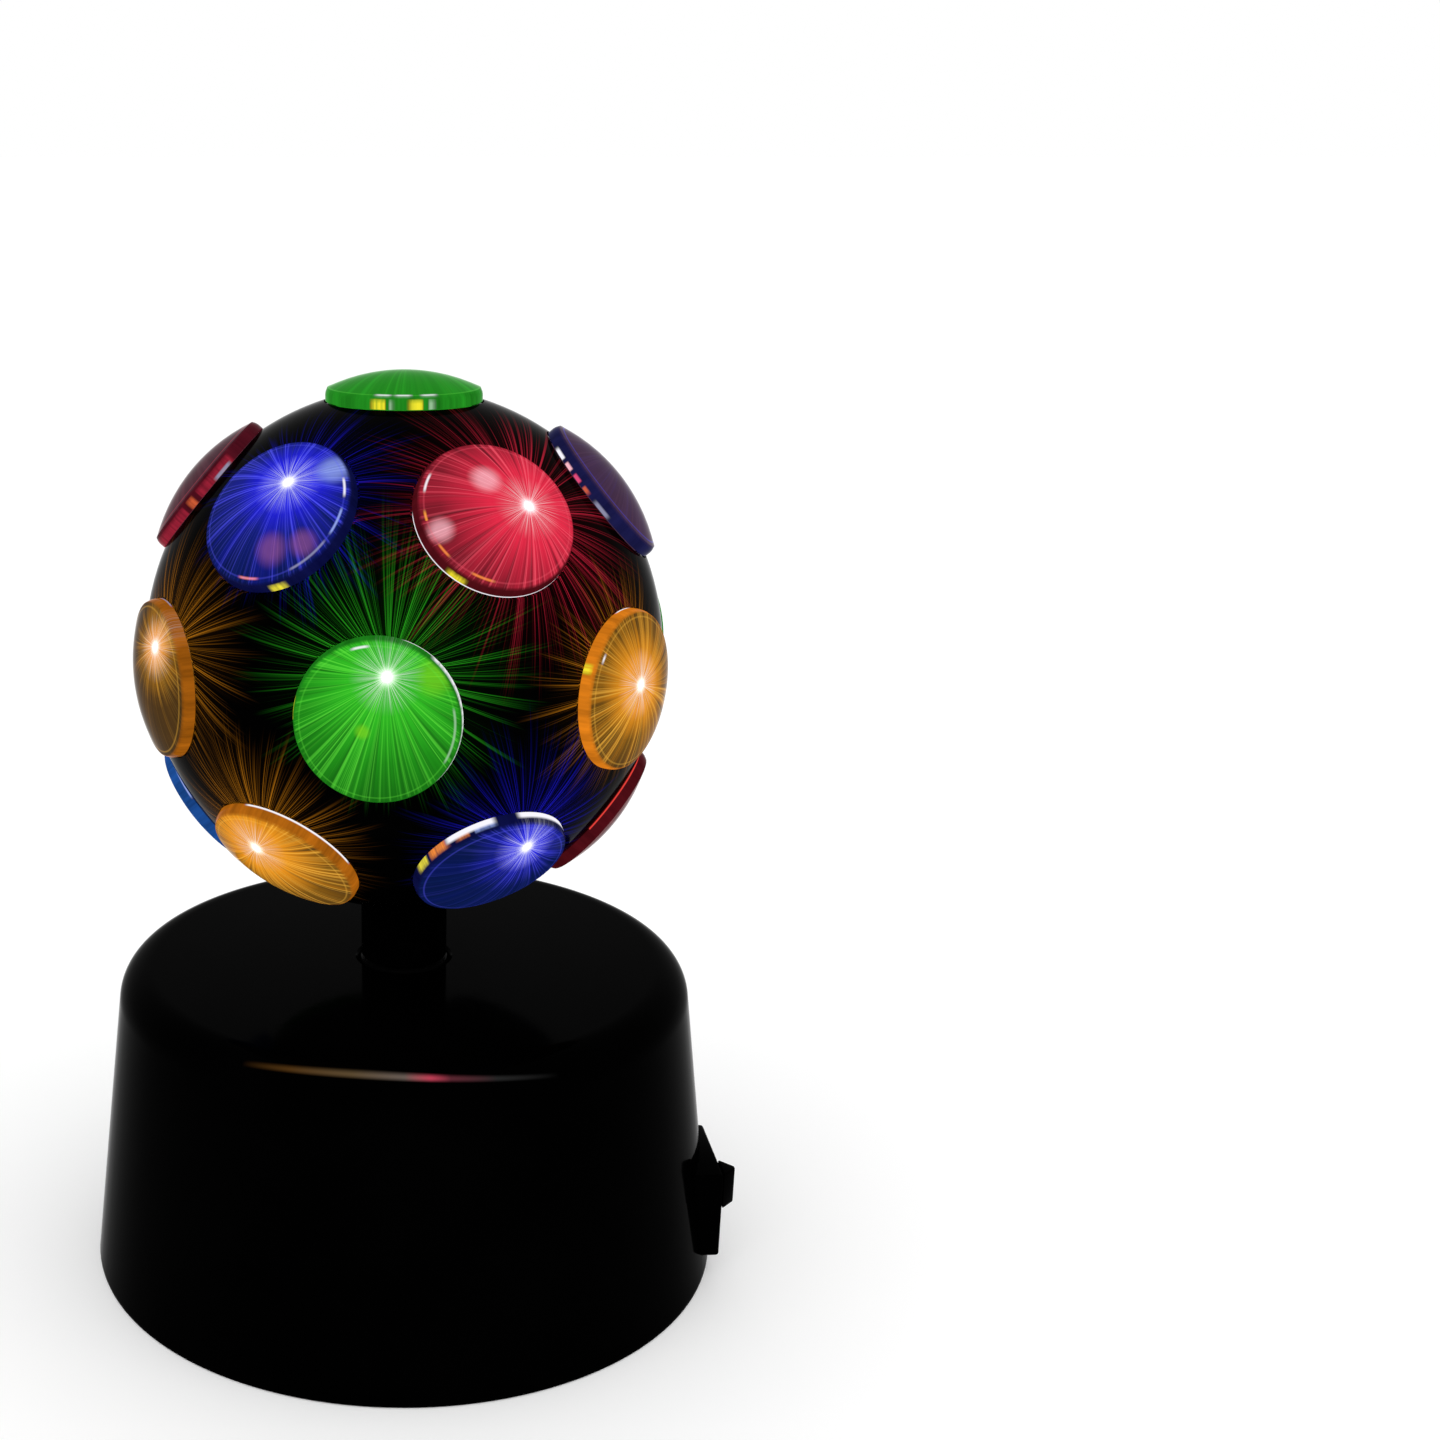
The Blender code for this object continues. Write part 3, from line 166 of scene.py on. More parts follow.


# Painted glow of each lens, from beside its light to where it is dark, and its rim's wall. The
# darker tones, top green and azure are the same blue, red and green plastics, painted as they show
# where a lens's light shows less
LENS_COLOURS = {
    "green": ((100, 232, 66), (48, 182, 36), (30, 134, 24), (16, 78, 14), (28, 120, 26)),
    "top green": ((100, 232, 66), (50, 180, 40), (34, 140, 32), (30, 128, 28), (32, 134, 30)),
    "blue": ((88, 92, 255), (34, 32, 224), (22, 30, 118), (8, 22, 62), (10, 14, 50)),
    "red": ((252, 92, 112), (224, 42, 70), (126, 28, 42), (64, 18, 24), (66, 12, 18)),
    "orange": ((255, 192, 74), (232, 146, 30), (118, 80, 20), (50, 38, 20), (216, 122, 24)),
    "dark blue": ((88, 92, 255), (38, 40, 190), (86, 46, 74), (64, 42, 58), (24, 24, 62)),
    "dark red": ((252, 92, 112), (200, 44, 70), (98, 38, 60), (58, 36, 46), (70, 14, 26)),
    "azure": ((70, 140, 210), (30, 78, 148), (26, 66, 130), (18, 46, 96), (24, 66, 130)),
}
SLOTS = {"green": "lens_green", "top green": "lens_green", "blue": "lens_blue",
         "dark blue": "lens_blue", "azure": "lens_blue", "red": "lens_red",
         "dark red": "lens_red", "orange": "lens_orange"}
# How far each colour's painted rays reach over the ball
THROWS = {"red": 2.4, "green": 2.1}
USUAL_THROW = 1.8
# Colours of the painted glints, highlights and reflections on the lenses
GLINTS = {
    "white": (250, 248, 255), "pale": (150, 190, 150), "yellow": (246, 232, 50),
    "orange": (244, 140, 40), "amber": (250, 160, 24), "rose": (225, 75, 120),
    "grey": (140, 140, 165), "scarlet": (232, 66, 58), "sky": (150, 170, 235),
    "crimson": (148, 32, 52), "mauve": (132, 78, 136), "lime": (118, 206, 34),
    "blush": (252, 186, 198), "ochre": (205, 92, 52),
}


def lens(colour, light, reach, foot=(), wall=(), ledge=(), patches=(), foot_share=0.2,
         ledge_at=0.915, ledge_width=0.02, wall_share=1.0, throw=None):
    """What one lens shows, all painted as glow: its colour, the place of its light in shares of its
    radius and how far that light reaches. Then its painted glints, as (from, to, tone) in degrees
    round it, along the foot of its wall, on the wall and on the ledge inside it, and soft painted
    reflections, patches of light in its dome, as (x, y, size, tone). The foot's glints take a share
    of the wall's height, the wall's painted glow colour is scaled by wall_share, and throw is how
    far its painted rays reach over the ball."""
    return {"colour": colour, "light": light, "reach": reach, "foot": foot, "wall": wall,
            "ledge": ledge, "patches": patches, "foot_share": foot_share, "ledge_at": ledge_at,
            "ledge_width": ledge_width, "wall_share": wall_share,
            "throw": throw or THROWS.get(colour, USUAL_THROW)}


# Where each lens's painted light, glints and reflections lie
LENSES = {
    "top_lens": lens("top green", (0.05, 0.62), reach=0.36, throw=1.0, wall=(
        (-113, -102, "yellow"), (-102, -98, "pale"), (-86, -74, "yellow"), (-74, -68, "pale")),
        ledge=((-111, -100, "white"), (-96, -85, "white"), (-77, -66, "white")), ledge_at=0.957,
        ledge_width=0.032),
    "upper_lens_1": lens("red", (0.346, -0.009), reach=1.25, foot=(
        (-180, -49, "white"), (169, 180, "white")), wall=((-142, -129, "yellow"),), ledge=(
        (-160, -148, "orange"), (-128, -110, "orange"), (139, 155, "white"),
        (172, 180, "amber")), patches=((-0.085, 0.397, 0.25, "blush"),
                                       (-0.80, -0.157, 0.20, "blush"))),
    "upper_lens_2": lens("dark blue", (0.66, 0.12), reach=0.26, throw=1.2, foot_share=0.35, foot=(
        (124, 138, "white"), (138, 149, "blush"), (149, 160, "rose"), (160, 168, "ochre"),
        (176, 180, "grey"), (-180, -170, "grey"))),
    "upper_lens_3": lens("red", (0.20, 0.25), reach=0.95, foot=((-120, -10, "white"),),
                         wall=((-70, -58, "yellow"), (-40, -30, "orange"))),
    "upper_lens_4": lens("blue", (-0.15, 0.30), reach=0.95, foot=((-150, -40, "sky"),),
                         wall=((-110, -98, "yellow"), (-92, -80, "orange"))),
    "upper_lens_5": lens("dark red", (-0.66, 0.12), reach=0.26, throw=1.2, wall=(
        (-80, -10, "crimson"), (-10, 2, "ochre"), (2, 40, "crimson")),
        foot=((20, 36, "grey"),), foot_share=0.3),
    "upper_lens_6": lens("blue", (0.128, 0.312), reach=0.82, wall=(
        (-71, -60, "yellow"),), ledge=(
        (-96, -80, "orange"), (20, 36, "white"), (-12, 9, "sky"), (-52, -19, "grey")),
        patches=((0.573, 0.629, 0.28, "sky"), (0.264, -0.549, 0.26, "mauve"),
                 (0.635, -0.393, 0.22, "mauve"))),
    "middle_lens_1": lens("green", (0.134, 0.584), reach=1.2, foot=((-45, 72, "white"),),
                          wall=((-45, 50, "white"), (165, 180, "yellow")), ledge=(
                          (96, 108, "white"), (-30, 12, "pale")), patches=(
                          (-0.151, -0.057, 0.12, "lime"), (0.684, 0.582, 0.30, "lime"))),
    "middle_lens_2": lens("orange", (-0.112, 0.127), reach=0.8, foot=((82, 100, "white"),),
                          wall=((150, 157, "yellow"),), ledge=((140, 146, "white"),)),
    "middle_lens_3": lens("green", (0.20, 0.40), reach=1.3, foot=((-60, 60, "white"),),
                          wall=((165, 180, "yellow"),)),
    "middle_lens_4": lens("orange", (0.10, 0.35), reach=0.85, foot=((20, 110, "white"),)),
    "middle_lens_5": lens("green", (-0.15, 0.45), reach=1.3, foot=((-60, 60, "white"),),
                          wall=((-110, -98, "yellow"),)),
    "middle_lens_6": lens("orange", (0.367, 0.509), reach=0.42, foot=((76, 108, "grey"),),
                          wall_share=0.5),
    "lower_lens_1": lens("blue", (0.229, 0.603), reach=0.5, foot=(
        (31, 86, "white"), (105, 142, "white")), foot_share=0.6, wall=(
        (105, 122, "sky"), (122, 134, "orange"), (142, 160, "orange"), (162, 176, "yellow"))),
    "lower_lens_2": lens("red", (0.62, -0.05), reach=0.3, throw=1.2, foot_share=0.12,
                         foot=((60, 180, "scarlet"),)),
    "lower_lens_3": lens("blue", (0.10, 0.45), reach=0.7, foot=((40, 140, "white"),),
                         wall=((142, 158, "orange"),)),
    "lower_lens_4": lens("green", (-0.10, 0.50), reach=1.2, foot=((10, 120, "white"),)),
    "lower_lens_5": lens("azure", (-0.60, -0.05), reach=2.2, throw=1.2, wall_share=1.3,
                         foot=((20, 70, "sky"),)),
    "lower_lens_6": lens("orange", (-0.077, 0.491), reach=1.1, foot=((6, 98, "white"),),
                         wall_share=0.62),
}


class BaseSizes(bpy.types.PropertyGroup):
    """Sizes of the base shell's moulding."""

    top_radius: FloatProperty(
        name="Top radius", description="Radius of the side where it would meet the flat top",
        default=0.03493, unit="LENGTH")
    shoulder: FloatProperty(
        name="Shoulder", description="Radius of the rolled edge between side and top",
        default=0.00423, unit="LENGTH")
    wall: FloatProperty(
        name="Wall", description="Thickness of the moulding", default=0.0020, unit="LENGTH")
    neck_hole: FloatProperty(
        name="Neck hole", description="Radius of the hole for the ball's neck and its bushing",
        default=0.0057, unit="LENGTH")
    foot_edge: FloatProperty(
        name="Foot edge", description="Radius of the small rounding at the foot",
        default=0.00035, unit="LENGTH")
    sides: IntProperty(
        name="Sides", description="Number of faces around the turned shell", default=144)


class BallSizes(bpy.types.PropertyGroup):
    """Sizes of the ball, its neck and its lenses."""

    radius: FloatProperty(
        name="Ball radius", description="Outer radius of the ball", default=0.03025, unit="LENGTH")
    wall: FloatProperty(
        name="Ball wall", description="Thickness of the two halves", default=0.0012, unit="LENGTH")
    neck: FloatProperty(
        name="Neck radius", description="Outer radius of the neck under the ball",
        default=0.0053, unit="LENGTH")
    hub: FloatProperty(
        name="Hub radius", description="Outer radius of the tube that goes down into the base",
        default=0.0040, unit="LENGTH")
    segments: IntProperty(
        name="Segments", description="Number of faces around the ball", default=144)
    lens_radius: FloatProperty(
        name="Lens radius", description="Outer radius of a lens", default=0.00888, unit="LENGTH")
    lens_rim: FloatProperty(
        name="Lens rim", description="Height of a lens's straight rim over its seat",
        default=0.0013, unit="LENGTH")
    lens_dome: FloatProperty(
        name="Lens dome", description="Rise of a lens's dome over its rim",
        default=0.0020, unit="LENGTH")
    lens_flange: FloatProperty(
        name="Lens flange", description="Width of the ledge that a lens sits on",
        default=0.0012, unit="LENGTH")
    lens_spigot: FloatProperty(
        name="Lens spigot", description="Depth of the lens's spigot below its seat",
        default=0.0022, unit="LENGTH")
    lens_edge: FloatProperty(
        name="Lens edge", description="Radius of the rounded edge between rim and dome",
        default=0.0006, unit="LENGTH")
    lens_sides: IntProperty(
        name="Lens sides", description="Number of faces around a lens", default=72)


class SwitchSizes(bpy.types.PropertyGroup):
    """Sizes of the slide switch on the base's side."""

    width: FloatProperty(
        name="Width", description="Width of the housing along the base's side",
        default=0.0137, unit="LENGTH")
    depth: FloatProperty(
        name="Depth", description="Depth of the housing into the base",
        default=0.0061, unit="LENGTH")
    edge: FloatProperty(
        name="Edge", description="Radius of the housing's rounded edges",
        default=0.0004, unit="LENGTH")
    knob_offset: FloatProperty(
        name="Knob offset", description="Distance of the knob from the housing's middle",
        default=-0.0047, unit="LENGTH")
    knob_width: FloatProperty(
        name="Knob width", description="Width of the knob", default=0.0041, unit="LENGTH")
    knob_height: FloatProperty(
        name="Knob height", description="Height of the knob", default=0.0048, unit="LENGTH")
    knob_reach: FloatProperty(
        name="Knob reach", description="How far the knob stands out of the housing",
        default=0.00145, unit="LENGTH")
    knob_crest: FloatProperty(
        name="Knob crest", description="Width of the knob's flat crest",
        default=0.0006, unit="LENGTH")
    knob_neck: FloatProperty(
        name="Knob neck", description="Side of the knob's square neck",
        default=0.0022, unit="LENGTH")
    travel: FloatProperty(
        name="Travel", description="How far the knob slides down", default=0.0040, unit="LENGTH")


class LightLooks(bpy.types.PropertyGroup):
    """Colours and strengths of the finishes."""

    black: FloatVectorProperty(
        name="Gloss black", description="Colour of the glossy black plastic",
        default=(0.0002, 0.0002, 0.0002), subtype="COLOR", min=0.0, max=1.0)
    matt_black: FloatVectorProperty(
        name="Matt black", description="Colour of the plastic under the base",
        default=(0.012, 0.012, 0.013), subtype="COLOR", min=0.0, max=1.0)
    gloss_ior: FloatProperty(
        name="Gloss refraction", description="Refraction index of the glossy black plastic",
        default=1.023, min=1.0, max=2.0)
    lens_ior: FloatProperty(
        name="Lens refraction", description="Refraction index of the lenses' surface",
        default=1.03, min=1.0, max=2.0)
    glow: FloatProperty(
        name="Lens glow", description="Strength of the light that the lenses give off",
        default=1.0, min=0.0)
    rays: FloatProperty(
        name="Ray strength", description="Strength of the rays that the lenses throw on the ball",
        default=1.0, min=0.0)


class StageLooks(bpy.types.PropertyGroup):
    """The floor, the lamps and the surroundings."""

    floor_size: FloatProperty(
        name="Floor size", description="Side of the pale floor", default=60.0, unit="LENGTH")
    floor_lift: FloatProperty(
        name="Floor lift", description="White added to the floor where it is seen or mirrored",
        default=0.10, min=0.0)
    surround: FloatProperty(
        name="Surround", description="Strength of the white light from all sides", default=1.0,
        min=0.0)
    lamp_power: FloatProperty(
        name="Lamp power", description="Power of each soft lamp in watts", default=0.5, min=0.0)


# Modelling helpers


def clear_selection():
    """Leave edit mode and select nothing."""
    active = bpy.context.view_layer.objects.active
    if active is not None and active.mode != "OBJECT":
        bpy.ops.object.mode_set(mode="OBJECT")
    bpy.ops.object.select_all(action="DESELECT")


def take(piece):
    """Select one piece only and make it active."""
    clear_selection()
    piece.select_set(True)
    bpy.context.view_layer.objects.active = piece


def edit(piece):
    """Open a piece in edit mode with all of it selected."""
    take(piece)
    bpy.ops.object.mode_set(mode="EDIT")
    bpy.ops.mesh.select_all(action="SELECT")


def pick(piece, kind, wanted):
    """In edit mode, select only the vertices, edges or faces that pass a test."""
    bpy.ops.mesh.select_mode(type=kind)
    bpy.ops.mesh.select_all(action="DESELECT")
    shape = bmesh.from_edit_mesh(piece.data)
    group = {"VERT": shape.verts, "EDGE": shape.edges, "FACE": shape.faces}[kind]
    for item in group:
        if wanted(item):
            item.select_set(True)
    bmesh.update_edit_mesh(piece.data)


def close_shape(piece):
    """Merge doubles, turn the faces outwards and leave edit mode."""
    bpy.ops.mesh.select_all(action="SELECT")
    bpy.ops.mesh.remove_doubles(threshold=MERGE_DISTANCE)
    bpy.ops.mesh.normals_make_consistent(inside=False)
    bpy.ops.object.mode_set(mode="OBJECT")
    return piece


def grow(start, profile):
    """Extrude what is selected ring after ring along (radius, height) points about Z."""
    radius, height = start
    for next_radius, next_height in profile:
        bpy.ops.mesh.extrude_region_move(
            TRANSFORM_OT_translate={"value": (0.0, 0.0, next_height - height)})
        share = next_radius / radius
        bpy.ops.transform.resize(value=(share, share, 1.0),
                                 center_override=(0.0, 0.0, next_height))
        radius, height = next_radius, next_height


def settle(name, size=(1.0, 1.0, 1.0)):
    """Name a new primitive, give it its size and move its place into its mesh."""
    piece = bpy.context.object
    piece.name = piece.data.name = name
    piece.scale = size
    bpy.ops.object.transform_apply(location=True, rotation=False, scale=True)
    return piece


def turn(name, sides, profile, open_ring=False):
    """A body turned about Z. An open ring joins its last ring to its first."""
    clear_selection()
    radius, height = profile[0]
    bpy.ops.mesh.primitive_circle_add(
        vertices=sides, radius=radius, fill_type="NOTHING" if open_ring else "NGON",
        location=(0.0, 0.0, height))
    piece = settle(name)
    edit(piece)
    grow(profile[0], profile[1:])
    if open_ring:
        ends = (profile[0], profile[-1])

        def on_end(edge):
            return any(all(abs(v.co.xy.length - r) < SAME_PLACE
                           and abs(v.co.z - h) < SAME_PLACE
                           for v in edge.verts) for r, h in ends)

        pick(piece, "EDGE", on_end)
        bpy.ops.mesh.bridge_edge_loops()
    return close_shape(piece)


def round_edges(piece, radius):
    """In edit mode, round all the edges of a piece and close it."""
    bpy.ops.mesh.select_mode(type="EDGE")
    bpy.ops.mesh.select_all(action="SELECT")
    bpy.ops.mesh.bevel(offset=radius, segments=3, affect="EDGES")
    close_shape(piece)


def block(name, size, centre, edge=0.0):
    """A box with rounded edges, at its place."""
    clear_selection()
    bpy.ops.mesh.primitive_cube_add(size=1.0, location=centre)
    piece = settle(name, size)
    if edge:
        edit(piece)
        round_edges(piece, edge)
    return piece


def place(piece, matrix):
    """Move a piece's mesh, so that its object stays at the origin."""
    piece.data.transform(matrix)
    return piece


def copied(source, name, matrix):
    """A copy of a piece with its own mesh, at another place."""
    take(source)
    bpy.ops.object.duplicate(linked=False)
    twin = bpy.context.object
    twin.name = twin.data.name = name
    return place(twin, matrix)


def drop(piece):
    """Remove a helper piece."""
    bpy.data.objects.remove(piece, do_unlink=True)


def apply_change(piece, kind, **settings):
    """Add a modifier with its settings and apply it."""
    take(piece)
    change = piece.modifiers.new(kind.lower(), kind)
    for key, value in settings.items():
        setattr(change, key, value)
    bpy.ops.object.modifier_apply(modifier=change.name)


def cut(piece, tool, operation="DIFFERENCE"):
    """Cut or join a piece with a tool that is removed afterwards."""
    apply_change(piece, "BOOLEAN", operation=operation, solver="EXACT", object=tool)
    drop(tool)


def smooth(piece, degrees):
    """Smooth the faces and keep the edges sharp that turn more than this."""
    take(piece)
    bpy.ops.object.shade_smooth_by_angle(angle=math.radians(degrees))


def dress(piece, look):
    """Give a piece its finish."""
    piece.data.materials.clear()
    piece.data.materials.append(look)


def stand_for(piece, body, slot, *nodes):
    """The piece moves with its body and takes the place of its CAD nodes."""
    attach(piece, body)
    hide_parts(*nodes)


def complete(piece, angle, look, body, slot, node):
    """Smooth a piece, give it its finish and let it stand for its node."""
    smooth(piece, angle)
    dress(piece, look)
    stand_for(piece, body, slot, node)


def arc(centre, radius, start, end, steps):
    """(radius, height) points of an arc between two angles in degrees."""
    points = []
    for step in range(steps + 1):
        angle = math.radians(start + (end - start) * step / steps)
        points.append((centre[0] + radius * math.cos(angle),
                       centre[1] + radius * math.sin(angle)))
    return points


def lens_matrix(azimuth, elevation, distance):
    """Turns +Z to a lens's direction and moves it out to a distance from the ball's centre."""
    return (Matrix.Translation((0.0, 0.0, BALL_CENTRE)) @ Matrix.Rotation(azimuth, 4, "Z")
            @ Matrix.Rotation(math.pi / 2 - elevation, 4, "X")
            @ Matrix.Translation((0.0, 0.0, distance)))


def lens_places():
    """Names and directions of the nineteen lenses."""
    pitch = math.tau / RING_COUNT
    places = [("top_lens", 0.0, math.pi / 2)]
    rings = (("upper", UPPER_ELEVATION, 0.5), ("middle", 0.0, 0.0), ("lower", LOWER_ELEVATION, 0.5))
    for ring, elevation, turn_share in rings:
        for index in range(RING_COUNT):
            azimuth = RING_TURN + pitch * (index + turn_share)
            places.append((f"{ring}_lens_{index + 1}", azimuth, elevation))
    return places


def lens_seat(sizes):
    """Distance of a lens's seat from the ball's centre."""
    return math.sqrt(sizes.radius ** 2 - sizes.lens_radius ** 2)


# Finishes


class Finish:
    """A material being made: short calls add its nodes and join them."""

    def __init__(self, name):
        self.material = bpy.data.materials.new(name)
        self.material.use_nodes = True
        self.tree = self.material.node_tree
        self.shader = self.tree.nodes["Principled BSDF"]

    def put(self, socket, value):
        """Join a socket to another or set its value."""
        if isinstance(value, bpy.types.NodeSocket):
            self.tree.links.new(value, socket)
        else:
            socket.default_value = value

    def add(self, kind, inputs=(), **settings):
        """Add a node with its settings and inputs, given as (name or index, value) pairs."""
        made = self.tree.nodes.new(kind)
        for key, value in settings.items():
            setattr(made, key, value)
        for key, value in inputs:
            self.put(made.inputs[key], value)
        return made

    def sum(self, operation, first, second=0.0, third=0.0):
        """One step of arithmetic."""
        return self.add("ShaderNodeMath", ((0, first), (1, second), (2, third)),
                        operation=operation).outputs[0]

    def times(self, first, *others):
        """The product of values."""
        for other in others:
            first = self.sum("MULTIPLY", first, other)
        return first

    def away(self, value, level):
        """How far a value is from a level."""
        return self.sum("ABSOLUTE", self.sum("SUBTRACT", value, level))

    def split(self, point):
        """The three parts of a point."""
        return self.add("ShaderNodeSeparateXYZ", (("Vector", point),)).outputs

    def own_map(self, name):
        """The place in one of the piece's own maps."""
        return self.add("ShaderNodeUVMap", (), uv_map=name).outputs["UV"]

    def vector(self, operation, first, second=(0.0, 0.0, 0.0)):
        """One step of arithmetic on vectors."""
        node = self.add("ShaderNodeVectorMath", ((0, first), (1, second)), operation=operation)
        return node.outputs["Value" if operation in ("LENGTH", "DOT_PRODUCT") else "Vector"]

    def noise(self, place, scale, detail=2.0, roughness=0.5):
        """A noise value at a place."""
        return self.add("ShaderNodeTexNoise", (
            ("Vector", place), ("Scale", scale), ("Detail", detail),
            ("Roughness", roughness))).outputs["Fac"]

    def span(self, value, low, high, to_low=0.0, to_high=1.0, kind="LINEAR"):
        """Map a value from one span to another, clamped."""
        return self.add("ShaderNodeMapRange", (
            ("Value", value), ("From Min", low), ("From Max", high), ("To Min", to_low),
            ("To Max", to_high)), interpolation_type=kind, clamp=True).outputs["Result"]

    def ramp(self, value, stops, interpolation="EASE"):
        """A colour ramp given as (position, linear colour) stops."""
        node = self.add("ShaderNodeValToRGB", (("Fac", value),))
        band = node.color_ramp
        band.interpolation = interpolation
        while len(band.elements) < len(stops):
            band.elements.new(1.0)
        for element, (position, colour) in zip(band.elements, stops):
            element.position = position
            element.color = (*colour, 1.0)
        return node.outputs["Color"]

    def around(self, angle, sectors):
        """A black ring with coloured sectors, given as (from, to, tone) in degrees."""
        soft = 2.0
        stops = []
        for start, end, tone in sorted(sectors):
            colour = screen_colour(*GLINTS[tone])
            if start > -180:
                stops += [(start - soft, BLACK), (start + soft, colour)]
            else:
                stops.append((start, colour))
            if end < 180:
                stops += [(end - soft, colour), (end + soft, BLACK)]
            else:
                stops.append((end, colour))
        stops = [(at / 360 + 0.5, colour) for at, colour in sorted(stops, key=lambda s: s[0])]
        return self.ramp(self.sum("MULTIPLY_ADD", angle, 1 / math.tau, third=0.5), stops,
                         "LINEAR")

    def blend(self, share, first, second, mode="MIX"):
        """Mix two colours."""
        node = self.add("ShaderNodeMix", (), data_type="RGBA", blend_type=mode)
        self.put(node.inputs["Factor"], share)
        for socket, value in ((node.inputs[6], first), (node.inputs[7], second)):
            self.put(socket, (*value, 1.0) if isinstance(value, tuple) else value)
        return node.outputs[2]

    def object_place(self):
        """The point on the object."""
        return self.add("ShaderNodeTexCoord").outputs["Object"]

    def bump(self, height, distance):
        """Small relief from a height."""
        normal = self.add("ShaderNodeBump", (("Height", height), ("Distance", distance)))
        self.put(self.shader.inputs["Normal"], normal.outputs["Normal"])

    def set(self, **values):
        """Set the shader's own sockets. Names have underscores for spaces."""
        for key, value in values.items():
            if isinstance(value, tuple):
                value = (*value, 1.0)
            self.put(self.shader.inputs[key.replace("_", " ")], value)


def shade(colour, share):
    """A colour made darker or lighter by a share."""
    return tuple(min(1.0, value * share) for value in colour)


def gloss_black(name, looks):
    """Glossy black moulding: faint flow marks, a hint of ripple and soft wear in the gloss. Its
    low refraction keeps the white surroundings out of it, save at the grazing edges."""
    finish = Finish(name)
    spot = finish.object_place()
    flow = finish.noise(spot, 55.0, 4.0)
    colour = tuple(looks.black)
    mottle = finish.ramp(flow, ((0.3, shade(colour, 0.6)), (0.75, shade(colour, 1.8))))
    finish.set(Base_Color=mottle,
               Roughness=finish.span(finish.noise(spot, 160.0, 5.0, 0.6), 0.35, 0.7, 0.07, 0.13),
               IOR=looks.gloss_ior)
    finish.bump(finish.noise(spot, 900.0, 2.0), 0.000002)
    return finish


def moulded(name, colour, roughness, grain=1500.0, relief=0.00001, ior=1.5):
    """Plain moulded plastic: slightly uneven colour and a fine grain."""
    finish = Finish(name)
    spot = finish.object_place()
    cloud = finish.noise(spot, 120.0, 4.0)
    mottle = finish.ramp(cloud, ((0.3, shade(colour, 0.85)), (0.7, shade(colour, 1.12))))
    finish.set(Base_Color=mottle,
               Roughness=finish.span(finish.noise(spot, 400.0, 3.0), 0.3, 0.7, roughness - 0.06,
                                     roughness + 0.08), IOR=ior)
    finish.bump(finish.noise(spot, grain, 3.0, 0.6), relief)
    return finish.material


def metal(name, colour, roughness, stretch):
    """Drawn or brushed metal: fine lines along one direction and a slightly uneven sheen."""
    finish = Finish(name)
    mapping = finish.add("ShaderNodeMapping", (("Vector", finish.object_place()),
                                               ("Scale", stretch)))
    lines = finish.noise(mapping.outputs["Vector"], 900.0, 5.0, 0.7)
    mottle = finish.ramp(lines, ((0.3, shade(colour, 0.8)), (0.7, shade(colour, 1.1))))
    finish.set(Base_Color=mottle,
               Roughness=finish.span(lines, 0.3, 0.7, roughness - 0.08, roughness + 0.1),
               Metallic=1.0)
    finish.bump(lines, 0.000004)
    return finish.material


def cell_sleeve(name, plus_end):
    """A round cell's printed sleeve: dark with a copper band at its plus end."""
    finish = Finish(name)
    spot = finish.object_place()
    along = finish.vector("DOT_PRODUCT", spot, (0.0, plus_end, 0.0))
    band = finish.span(along, *BAND_START)
    finish.set(Base_Color=finish.blend(band, finish.ramp(
        finish.noise(spot, 300.0), ((0.3, (0.010, 0.018, 0.05)), (0.7, (0.018, 0.03, 0.075)))),
        (0.42, 0.19, 0.08)),
        Roughness=finish.span(finish.noise(spot, 500.0), 0.3, 0.7, 0.24, 0.36), Metallic=0.6)
    finish.bump(finish.noise(spot, 800.0), 0.000004)
    return finish.material


def board_finish(name):
    """A green circuit board with pale traces in rings and dots of solder."""
    finish = Finish(name)
    spot = finish.object_place()
    flat = finish.vector("MULTIPLY", spot, (1.0, 1.0, 0.0))
    rings = finish.sum("PINGPONG", finish.vector("LENGTH", flat), TRACE_PITCH)
    trace = finish.span(rings, *TRACE_EDGE)
    solder = finish.add("ShaderNodeTexVoronoi", (("Vector", spot), ("Scale", 420.0)))
    dots = finish.span(solder.outputs["Distance"], 0.16, 0.2, 1.0, 0.0)
    green = finish.blend(trace, (0.006, 0.06, 0.022), (0.02, 0.14, 0.05))
    finish.set(Base_Color=finish.blend(dots, green, (0.6, 0.6, 0.58)), Roughness=0.35,
               Metallic=dots)
    finish.bump(dots, 0.00006)
    return finish.material


def clear_lamp(name):
    """The clear epoxy body of the lamp, lit from its chip."""
    finish = Finish(name)
    spot = finish.object_place()
    haze = finish.noise(spot, 500.0, 3.0)
    finish.set(Base_Color=finish.ramp(haze, ((0.3, (0.75, 0.75, 0.78)), (0.7, (0.9, 0.9, 0.92)))),
               Roughness=finish.span(haze, 0.3, 0.7, 0.05, 0.14), Transmission_Weight=0.7,
               Emission_Color=finish.ramp(haze, ((0.3, (0.8, 0.85, 1.0)), (0.7, (1.0, 1.0, 1.0)))),
               Emission_Strength=0.6)
    finish.bump(haze, 0.00001)
    return finish.material


def ray_pattern(finish, offset, seed, scale=1.0):
    """How bright fine rays about a light are, as (broad, fine, distance).

    The offset is the place in the lens's own plane, from the light, in shares of its radius.
    """
    distance = finish.vector("LENGTH", offset)
    heading = finish.vector("ADD", finish.vector("NORMALIZE", offset), (seed, seed, seed))
    broad = finish.span(finish.noise(heading, 9.0 * scale, 2.0, 0.6), 0.42, 0.6)
    fine = finish.span(finish.noise(heading, 34.0 * scale, 2.0, 0.6), 0.52, 0.62)
    return broad, fine, distance


